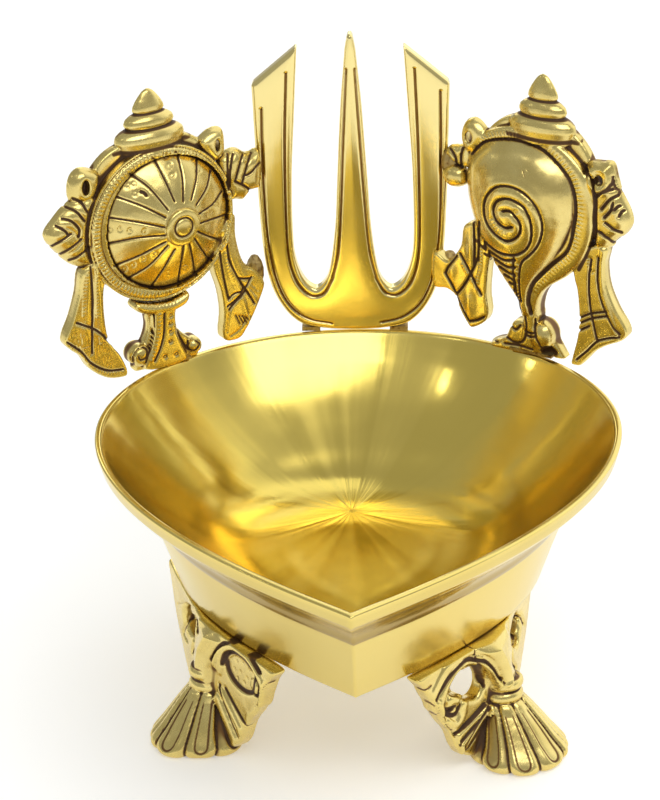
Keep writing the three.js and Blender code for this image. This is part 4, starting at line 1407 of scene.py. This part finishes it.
def make_leg(name, node, look, place, shape):
    """Bracket foot: two wings, a column, a collar, a fluted foot and the tab for the screw."""
    casting = Casting((-38.6, -1.0, -19.0), (36.0, 39.6, 22.6), STEP * 1.12)
    x, y = casting.x, casting.y
    # Front wing with its eye
    d = outline(x, y, shape["wing"])
    if shape["eye"] is not None:
        d = smooth_max(d, -outline(x, y, shape["eye"]), 0.7)
    casting.add(d, crown(d, 1.5, 2.5, 1.6), -2.0, 0.6, 0.1)
    add_turned_plate(casting, shape["rear"], shape["bend"], 2.2, -2.2, shape["rear_eye"])
    # Tab for the screw, behind the column
    gx, gy, gz = casting.volume()
    tab = np.maximum(np.maximum(np.abs(gx) - 6.5, np.abs(gy - LEG_TOP + 2) - 2), np.maximum(-17 - gz, gz))
    casting.add_solid(tab, 0.4)
    hole = np.hypot(gx, gz + 11) - 2.3
    casting.field = smooth_max(casting.field, (-hole).astype(np.float32), 0.3)
    add_loft(casting, shape["column"], 0.8, 0.8)
    add_foot(casting, shape["foot"])
    add_collar(casting, *shape["collar"])
    casting.look_along(shape["slide"], 2.5)
    for path, half, height in shape["rolls"]:
        casting.emboss(height * np.sqrt(np.clip(1 - (casting.near(path)[0] / half) ** 2, 0, 1)))
    casting.lines(shape["thin"], 0.3, 0.4)
    casting.lines(shape["deep"], 0.55, 1.0)
    for spot, sizes, sink in shape["pits"]:
        away = oval(*casting.seen, spot, sizes)
        casting.carve(sink * np.clip((1.15 - away) / 0.3, 0, 1), 0.75 if sizes[0] < 3 else 0.2)
        casting.carve(0.5 * bump((away - 1.0) * sizes[1], 0.6), 0.9)
    casting.rings(shape["marks"], 0.35, 0.3)
    casting.field = smooth_max(casting.field, (gy - LEG_TOP).astype(np.float32), 0.3)
    casting.field = np.maximum(casting.field, -gy)
    casting.roughen(0.07, 2.6, shape["seed"])
    casting.roughen(0.10, 6.5, shape["seed"] + 1)
    casting.field = np.maximum(casting.field, -gy)
    # The last number sets the patina and painted shade on the side walls
    return cast(name, casting, place, node, look, shape["side"], 0.45)


def leg_shape(**changes):
    """What the legs share, with the changes for one of them."""
    shape = {
        "side": 1, "slide": (1.108, -0.727), "wing": WING, "eye": None, "rear": REAR_WING,
        "rear_eye": [
            (9, 31), (11.6, 34.2), (15.6, 34.4), (19.6, 31.8), (19.4, 27.6), (15.4, 25.4), (11.4, 26.4),
        ],
        "bend": WING_BEND, "column": COLUMN, "collar": ((0.0, 2.0), 6.3, [(18.7, 1.9), (22.6, 1.9)]),
        "foot": {}, "rolls": [], "thin": [], "deep": [], "pits": [], "marks": [], "seed": 31,
    }
    shape.update(changes)
    return shape


RIGHT_LEG = leg_shape(
    eye=EYE,
    foot={
        "ankle": (0.0, 2.0), "ground": (1.0, 7.5), "neck": 6.2, "reach": 14.3, "flat": 0.0,
        "flat_at": 0.0,
        "grooves": [-165, -140, -100, -61, -22, 22, 36, 50, 64, 78, 92, 108, 130, 160, 195],
        "channel_ends": [2, 2.5, 2.5, 2.2, 2.5, 0, 0, 0, 0, 0, 0, 0, 0, 0],
    },
    rolls=[
        (
            [
                (-27.6, 25), (-26.8, 29.4), (-23.6, 33.8), (-18.4, 36), (-12.6, 34.6), (-8, 31),
                (-4.4, 26.2), (-2.6, 22.6),
            ],
            1.5, 1.1,
        ),
        (
            [(-31, 27), (-29.4, 32), (-24, 37), (-16, 39), (-9, 37.4), (-3, 32.6), (0.6, 26), (2, 22)],
            2.1, 0.8,
        ),
        ([(-29.4, 27.6), (-27.6, 22.4), (-25.6, 17), (-23, 12.6), (-19.6, 9)], 1.7, 0.8),
        ([(-20.6, 12.6), (-14.6, 14.6), (-8.4, 17.2)], 1.3, 0.8),
        ([(-18.6, 8.6), (-12.8, 12.4), (-7.4, 16.4)], 1.9, 0.8),
        ([(-17.4, 22.4), (-18.2, 19), (-21, 17.2), (-24, 19)], 1.7, 0.9),
        ([(-22.4, 26.2), (-21.8, 25.8)], 2.7, 1.3),
    ],
    deep=[
        [
            (-29.5, 30), (-26, 33.5), (-21, 36), (-17, 36.8), (-13, 35), (-9, 32.8), (-6, 29.5),
            (-3.5, 25.5), (-1.8, 23.8),
        ],
        [(-12, 33), (-9.5, 28.4), (-8.2, 24)],
        [(-26, 27.5), (-25.5, 24), (-23, 21.5), (-20.5, 21), (-19.4, 23.4)],
        [(-21, 14.6), (-15, 15.8), (-8.6, 18.2)], [(-19.6, 10.6), (-13, 13.6), (-7.8, 17.2)],
        [(-6.2, 14.4), (-8.6, 9), (-11, 3)], [(4.4, 35.6), (5.4, 37), (7.4, 38), (9.8, 36.6), (11, 34)],
        [(4.6, 36), (5, 31.3), (4.4, 27), (6.6, 22)],
    ],
    thin=[
        [(-34.5, 32), (-32.6, 30.2), (-31, 28.4)], [(-32.4, 27), (-30.4, 25.4), (-29.4, 30)],
        [(-13.4, 39), (-13, 36.4), (-12.4, 33.4)],
        [
            (-8.6, 15.6), (-12.6, 12.6), (-16.4, 9.4), (-17.2, 8.2), (-16, 7), (-13.6, 8), (-10.2, 11),
            (-7, 14.6),
        ],
        [(-36.6, 36), (-33.6, 34.6), (-31, 34.8)], [(-27.2, 22), (-25.4, 18.6), (-23.6, 17.2)],
    ],
    pits=[((-23.4, 23.6), (1.6, 1.2), 1.0), ((6.8, 30.4), (1.0, 1.8), 1.6)],
)

LEFT_LEG = leg_shape(
    side=-1, slide=(1.477, -0.870),
    rear=[
        (37.5, 38.4), (35.6, 34), (33, 29), (30.4, 24), (26.6, 18.6), (22, 13), (16, 8), (10, 4), (3, 3),
        (-1, 8), (-1, 38.4),
    ],
    bend=math.radians(17.5),
    column=[(y, [(px, pz - 1.4 if pz > 1 else pz) for px, pz in ring]) for y, ring in COLUMN],
    collar=((0.0, 0.5), 5.8, [(18.4, 1.9), (22.4, 1.9)]),
    foot={
        "ankle": (0.0, 0.6), "ground": (-0.4, 5.2), "neck": 5.8, "reach": 13.9, "flat": 3.0,
        "flat_at": -56.0, "grooves": [-172, -131, -84, -34, 14, 30, 44, 58, 72, 86, 104, 128, 158, 188],
        "channel_ends": [2, 2.5, 2.2, 2.5, 0, 0, 0, 0, 0, 0, 0, 0, 0],
    },
    rolls=[
        ([(-7.6, 28), (-9.6, 33), (-14, 37), (-20, 38.4), (-26, 37), (-30.6, 32.4), (-32, 27)], 1.7, 0.8),
        ([(-9.4, 26.6), (-11.6, 31.6), (-15.6, 35.6), (-20.6, 36.6), (-25.4, 35)], 1.3, 0.7),
        ([(-9.6, 20.4), (-15, 15.6), (-19.6, 11.4)], 1.5, 0.8),
        ([(-7.6, 16.6), (-12, 11), (-15.6, 6.6)], 1.8, 0.7), ([(-27.2, 30.2), (-26.6, 29.8)], 2.4, 1.2),
        ([(-33, 33), (-31.6, 27), (-28.4, 22), (-24, 18)], 1.8, 0.6),
    ],
    deep=[
        [(-5, 28.5), (-9, 34), (-14, 38), (-20, 40), (-26, 38.5), (-30, 36)],
        [(-11, 30), (-13, 34), (-18, 37), (-24, 36.5), (-28, 34), (-30, 31), (-29, 28), (-27, 27.5)],
        [(-9, 21.6), (-12, 16.6), (-17, 12)], [(-12, 22), (-17, 18), (-22, 14.6)],
        [(8.6, 26.6), (10.6, 28.4), (8.9, 32), (5.9, 36.6), (2.4, 37.4), (2, 34)],
        [(3.6, 37), (4.4, 30), (5.8, 24.6)],
    ],
    thin=[
        [(-36, 36), (-33, 33), (-31.6, 30)], [(-10.4, 17), (-14, 12.6), (-17.6, 8.4)],
        [(13.2, 36.8), (7.4, 39.6), (2.4, 40.6)],
    ],
    pits=[((-20, 31), (7.6, 5.4), 0.9)],
    marks=[
        (-23, 33), (-20, 34), (-17, 33), (-22, 30), (-18.6, 30.4), (-15.6, 30), (-20.4, 27.8),
        (-17, 27.6), (-24.6, 30.6),
    ],
    seed=41,
)

REAR_LEG = leg_shape(
    slide=(0.0, 0.0),
    eye=EYE,
    bend=0.0,
    foot={
        "ankle": (0.0, 1.6), "ground": (0.0, 7.0), "neck": 6.2, "reach": 13.9, "flat": 0.0,
        "flat_at": 0.0, "grooves": [-158, -112, -67, -22, 22, 67, 112, 158, 202],
        "channel_ends": [2.3] * 8,
    },
    seed=51,
)


# Materials


def smooth_range(node, *numbers):
    """Sets a map range node to a smooth step: from low and high to two results."""
    node.interpolation_type = "SMOOTHSTEP"
    for key, number in zip(("From Min", "From Max", "To Min", "To Max"), numbers):
        node.inputs[key].default_value = number


def vector_node(tree, kind, socket, fixed=None):
    """Vector maths on a socket, with a fixed vector where there are two."""
    node = tree.nodes.new("ShaderNodeVectorMath")
    node.operation = kind
    tree.links.new(socket, node.inputs[0])
    if fixed is not None:
        node.inputs[1].default_value = fixed
    return node


class Finish:
    """Builds a material's node tree."""

    def __init__(self, name):
        self.material = bpy.data.materials.new(name)
        self.material.use_nodes = True
        self.tree = self.material.node_tree
        self.tree.nodes.clear()
        self.spot = self.tree.nodes.new("ShaderNodeTexCoord").outputs["Object"]
        self.surface = self.tree.nodes.new("ShaderNodeBsdfPrincipled")
        output = self.tree.nodes.new("ShaderNodeOutputMaterial")
        self.tree.links.new(self.surface.outputs["BSDF"], output.inputs["Surface"])

    def put(self, socket, value):
        if isinstance(value, bpy.types.NodeSocket):
            self.tree.links.new(value, socket)
        else:
            socket.default_value = value

    def attribute(self, name):
        node = self.tree.nodes.new("ShaderNodeAttribute")
        node.attribute_name = name
        return node.outputs["Fac"]

    def noise(self, size_mm, detail=2.0, roughness=0.5, stretch=None):
        """Noise over the object, with lumps of a size."""
        spot = self.spot
        if stretch:
            shift = self.tree.nodes.new("ShaderNodeMapping")
            shift.inputs["Scale"].default_value = stretch
            self.put(shift.inputs["Vector"], spot)
            spot = shift.outputs["Vector"]
        return self.noise_of(spot, 1000.0 / size_mm, detail, roughness)

    def noise_of(self, spot, scale, detail, roughness=0.5):
        node = self.tree.nodes.new("ShaderNodeTexNoise")
        node.inputs["Scale"].default_value = scale
        node.inputs["Detail"].default_value = detail
        node.inputs["Roughness"].default_value = roughness
        self.put(node.inputs["Vector"], spot)
        return node.outputs["Fac"]

    def fan(self, centre_mm):
        """Direction from a centre in the plan, so that noise of it runs in rays."""
        shift = self.tree.nodes.new("ShaderNodeMapping")
        shift.inputs["Location"].default_value = (-centre_mm[0] * MM, -centre_mm[1] * MM, 0)
        shift.inputs["Scale"].default_value = (1, 1, 0)
        self.put(shift.inputs["Vector"], self.spot)
        return vector_node(self.tree, "NORMALIZE", shift.outputs["Vector"]).outputs["Vector"]

    def ramp(self, value, low, high, to_low=0.0, to_high=1.0):
        node = self.tree.nodes.new("ShaderNodeMapRange")
        smooth_range(node, low, high, to_low, to_high)
        self.put(node.inputs["Value"], value)
        return node.outputs["Result"]

    def math(self, kind, a, b=0.0):
        node = self.tree.nodes.new("ShaderNodeMath")
        node.operation = kind
        node.use_clamp = kind == "ADD"
        self.put(node.inputs[0], a)
        self.put(node.inputs[1], b)
        return node.outputs[0]

    def mix(self, share, a, b):
        node = self.tree.nodes.new("ShaderNodeMix")
        node.data_type = "RGBA"
        self.put(node.inputs[0], share)
        self.put(node.inputs[6], a)
        self.put(node.inputs[7], b)
        return node.outputs[2]

    def bump(self, height, depth_mm, before=None):
        node = self.tree.nodes.new("ShaderNodeBump")
        node.inputs["Strength"].default_value = 1.0
        node.inputs["Distance"].default_value = depth_mm * MM
        self.put(node.inputs["Height"], height)
        if before is not None:
            self.put(node.inputs["Normal"], before)
        return node.outputs["Normal"]

    def finish(self, colour, metal, roughness, normal=None):
        self.put(self.surface.inputs["Base Color"], colour)
        self.put(self.surface.inputs["Metallic"], metal)
        self.put(self.surface.inputs["Roughness"], roughness)
        if normal is not None:
            self.put(self.surface.inputs["Normal"], normal)
        return self.material


BRIGHT_BRASS = (0.80, 0.635, 0.205, 1)
WARM_BRASS = (0.77, 0.60, 0.175, 1)
# Deeper tint painted inside the bowl, for the reflections between its walls
PAINTED_REFLECTION_BRASS = (0.79, 0.605, 0.135, 1)
PALE_BRASS = (0.93, 0.80, 0.42, 1)
STROKE_BRASS = (0.86, 0.69, 0.22, 1)
CAST_BRASS, DULL_CAST_BRASS = (0.82, 0.66, 0.25, 1), (0.72, 0.56, 0.19, 1)
BRAZE, TURNED_BRASS = (0.50, 0.37, 0.15, 1), (0.62, 0.46, 0.20, 1)
DARK_PATINA_AND_SHADE = (0.070, 0.031, 0.009, 1)
BROWN_PATINA = (0.20, 0.10, 0.03, 1)


def antique_finish(name, bright, mid):
    """Cast brass that is bright on worn edges, with brown patina in the recesses and painted shade on the
    side walls.
    """
    look = Finish(name)
    crevice, hollow, ink_and_shade = (look.attribute(key) for key in ("crevice", "hollow", "ink_and_shade"))
    cloud = look.noise(9.0, 3.0)
    grain = look.noise(1.4, 3.0, 0.6)
    # Patina in crevices, hollows and cut lines, and painted shade on the side walls from the dark mark
    dirt_and_shade = look.math("ADD", look.ramp(crevice, 0.03, 0.24), look.ramp(ink_and_shade, 0.15, 0.95, 0.0, 0.86))
    dirt_and_shade = look.math("ADD", dirt_and_shade, look.ramp(hollow, 0.03, 0.24, 0.0, 0.55))
    dirt_and_shade = look.math("ADD", dirt_and_shade, look.ramp(grain, 0.62, 0.80, 0.0, 0.14))
    worn = look.ramp(crevice, -0.02, -0.16)
    dirt_and_shade = look.math("MULTIPLY", dirt_and_shade, look.math("SUBTRACT", 1.0, look.math("MULTIPLY", worn, 0.85)))
    clean = look.mix(look.ramp(cloud, 0.35, 0.7), mid, bright)
    clean = look.mix(look.math("MULTIPLY", worn, 0.7), clean, BRIGHT_BRASS)
    # Brown and then near-black for patina and painted shade
    colour = look.mix(look.ramp(dirt_and_shade, 0.10, 0.5), clean, BROWN_PATINA)
    colour = look.mix(look.ramp(dirt_and_shade, 0.4, 0.95), colour, DARK_PATINA_AND_SHADE)
    metal = look.ramp(dirt_and_shade, 0.15, 0.95, 1.0, 0.25)
    roughness = look.math(
        "ADD", look.ramp(dirt_and_shade, 0.0, 0.8, 0.22, 0.6), look.ramp(grain, 0.3, 0.8, 0.02, 0.07),
    )
    normal = look.bump(look.noise(0.9, 3.0, 0.6), 0.014)
    return look.finish(colour, metal, roughness, look.bump(look.noise(4.0, 1.0), 0.12, normal))


def polished_finish(name, centre_mm=None, pale=0.0):
    """Hand-polished brass, with strokes that fan out from a centre where one is given."""
    look = Finish(name)
    cloud = look.noise(40.0, 2.0, 0.5)
    haze = look.noise(14.0, 1.0, 0.5)
    # Patina, with painted shade on the bowl's outer cove, and patina in crevices
    dirt_and_shade = look.math(
        "ADD", look.ramp(look.attribute("ink_and_shade"), 0.0, 1.0, 0.0, 0.9),
        look.ramp(look.attribute("crevice"), 0.05, 0.25),
    )
    tint = look.mix(look.ramp(cloud, 0.35, 0.65), WARM_BRASS, BRIGHT_BRASS)
    # Painted reflection: deeper tint inside the bowl, where its walls reflect each other
    tint = look.mix(look.attribute("inner"), tint, PAINTED_REFLECTION_BRASS)
    if pale:
        tint = look.mix(pale, tint, PALE_BRASS)
    # Brown for patina and painted shade
    tint = look.mix(dirt_and_shade, tint, BROWN_PATINA)
    rough = look.math("ADD", look.ramp(haze, 0.3, 0.75, 0.12, 0.16), look.ramp(cloud, 0.3, 0.7, 0.0, 0.03))
    height = look.noise(9.0, 1.0)
    if centre_mm:
        fan = look.fan(centre_mm)
        broad = look.noise_of(fan, 3.4, 2.0)
        fine = look.noise_of(fan, 22.0, 2.0)
        rough = look.math("ADD", rough, look.ramp(broad, 0.42, 0.62, 0.0, 0.07))
        tint = look.mix(look.ramp(broad, 0.4, 0.62, 0.0, 0.12), tint, STROKE_BRASS)
        strokes = look.bump(fine, 0.02, look.bump(broad, 0.16))
    else:
        strokes = look.bump(look.noise(1.6, 2.0, 0.5, (1.0, 1.0, 0.12)), 0.01)
    normal = look.bump(height, 0.035, strokes)
    return look.finish(tint, 1.0, rough, normal)


def rough_finish(name, colour, roughness):
    """Unpolished brass with brown spots."""
    look = Finish(name)
    spots = look.noise(1.6, 3.0, 0.6)
    tint = look.mix(look.ramp(spots, 0.45, 0.7), colour, BROWN_PATINA)
    return look.finish(tint, 0.9, roughness, look.bump(look.noise(1.0, 3.0, 0.6), 0.15))


# Floor, light and air

FLOOR_REACH, FLOOR_GLOW = 2.5, 0.32
# Level direction of the white wall, and the air's brightness away from it and towards it
WALL_SIDE = (0.656, 0.755, 0)
DIM_AIR, BRIGHT_AIR = 0.43, 1.32


def make_floor():
    """Pale floor that glows a little, as a lit studio sweep does."""
    reach = FLOOR_REACH
    points = np.array([(-reach, -reach, 0), (reach, -reach, 0), (reach, reach, 0), (-reach, reach, 0)])
    floor = mesh_object("floor", points, np.array([[0, 1, 2, 3]]), {}, False)
    look = Finish("floor_white")
    look.surface.inputs["Emission Color"].default_value = (1, 1, 1, 1)
    look.surface.inputs["Emission Strength"].default_value = FLOOR_GLOW
    floor.data.materials.append(look.finish((0.93, 0.93, 0.93, 1), 0.0, 0.9))


def add_softbox(name, spot_mm, aim_mm, width_mm, height_mm, brightness):
    """Flat lamp whose face is that many times as bright as white paper."""
    data = bpy.data.lights.new(name, "AREA")
    data.shape = "RECTANGLE"
    data.size, data.size_y = width_mm * MM, height_mm * MM
    data.energy = brightness * math.pi * data.size * data.size_y
    lamp = bpy.data.objects.new(name, data)
    spot, aim = Vector(spot_mm) * MM, Vector(aim_mm) * MM
    lamp.matrix_world = Matrix.Translation(spot) @ (
        aim - spot
    ).to_track_quat("-Z", "Y").to_matrix().to_4x4()
    bpy.context.scene.collection.objects.link(lamp)


def make_air():
    """Dim room on the left and on the camera's side, and a white wall behind the lamp and to its right."""
    world = bpy.data.worlds.new("studio")
    world.use_nodes = True
    bpy.context.scene.world = world
    tree = world.node_tree
    link = tree.links.new
    spot = tree.nodes.new("ShaderNodeTexCoord").outputs["Generated"]
    flat = vector_node(tree, "MULTIPLY", spot, (1, 1, 0)).outputs["Vector"]
    unit = vector_node(tree, "NORMALIZE", flat).outputs["Vector"]
    facing = vector_node(tree, "DOT_PRODUCT", unit, WALL_SIDE).outputs["Value"]
    share = tree.nodes.new("ShaderNodeMapRange")
    smooth_range(share, 0.40, 0.85, DIM_AIR, BRIGHT_AIR)
    link(facing, share.inputs["Value"])
    air = tree.nodes["Background"]
    air.inputs["Color"].default_value = (0.98, 1.0, 1.0, 1)
    link(share.outputs["Result"], air.inputs["Strength"])


def make_studio():
    """Key light on the right of the camera, two small bulbs on the left, and a light from behind."""
    make_floor()
    make_air()
    middle = (0, 20, 60)
    add_softbox("key", (213, -436, 682), middle, 690, 310, 3.0)
    add_softbox("bulb_front", (-381, -308, 755), middle, 44, 22, 22.0)
    add_softbox("bulb_left", (-727, -38, 529), middle, 44, 22, 16.0)
    add_softbox("back", (-250, 900, 520), middle, 500, 220, 1.6)
    bpy.context.scene.view_settings.view_transform = "Standard"


# Assembly

TILAK_SPOT = (-2.0, 67.2)
FAN_CENTRE = (-2.8, 20.0)
CHAKRA_TIE, CHAKRA_REACH = (-30.3, 61.3), 31.8
CONCH_TIE, CONCH_REACH = (26.3, 62.8), 29.6
LEFT_LEG_SHARE, RIGHT_LEG_SHARE = 0.65, 0.69
REAR_LEG_SPOT = 43.9
LEG_TURN = math.radians(5)


def edge_spot(tie, reach, side):
    """Point of the rim at a reach from the point that ties a plaque to the tilak, and its turn."""
    rim = bowl_edge(0.0, 900) * [side, 1]
    rim = rim[rim[:, 1] > 0]
    away = np.hypot(rim[:, 0] - tie[0], rim[:, 1] - tie[1])
    spot = rim[np.where(away <= reach)[0][-1]]
    turn = math.atan2(side * (spot[1] - tie[1]), side * (spot[0] - tie[0]))
    return (spot[0], spot[1], RIM, turn)


def leg_spot(share, side):
    """Point of the base's edge at a share of its length, and the turn of a leg there."""
    edge = bowl_edge(BASE_INSET, 900)
    length = lengths(edge)
    at = share * length[-1]
    spot = [np.interp(at, length, edge[:, k]) for k in (0, 1)]
    ahead = [np.interp(at + 0.5, length, edge[:, k]) - spot[k] for k in (0, 1)]
    turn = math.atan2(-ahead[1], -ahead[0]) - LEG_TURN
    return (side * spot[0], spot[1], 0.0, side * turn)


def main():
    add_camera()
    make_studio()
    polished = polished_finish("polished_brass", pale=0.45)
    fanned = polished_finish("fanned_brass", (CENTRE[0] + FAN_CENTRE[0], CENTRE[1] + FAN_CENTRE[1]))
    antique = antique_finish("antique_brass", CAST_BRASS, DULL_CAST_BRASS)
    braze = rough_finish("braze_metal", BRAZE, 0.5)
    screw = rough_finish("screw_brass", TURNED_BRASS, 0.4)
    make_bowl((fanned, "polished_brass"))
    make_tilak((polished, "polished_brass"), (TILAK_SPOT[0], TILAK_SPOT[1], RIM, 0.0))
    look = (antique, "antique_brass")
    make_chakra(look, edge_spot(CHAKRA_TIE, CHAKRA_REACH, -1))
    make_conch(look, edge_spot(CONCH_TIE, CONCH_REACH, 1))
    make_leg("front_left_foot", "leg_front_left", look, leg_spot(LEFT_LEG_SHARE, -1), LEFT_LEG)
    make_leg("front_right_foot", "leg_front_right", look, leg_spot(RIGHT_LEG_SHARE, 1), RIGHT_LEG)
    make_leg("rear_foot", "leg_rear", look, (0.0, REAR_LEG_SPOT, 0.0, math.pi), REAR_LEG)
    for name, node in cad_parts.items():
        if "braze" in name or "lug" in name:
            node.data.materials.clear()
            node.data.materials.append(braze)
        elif "screw" in name:
            node.data.materials.clear()
            node.data.materials.append(screw)


main()
bpy.context.view_layer.update()
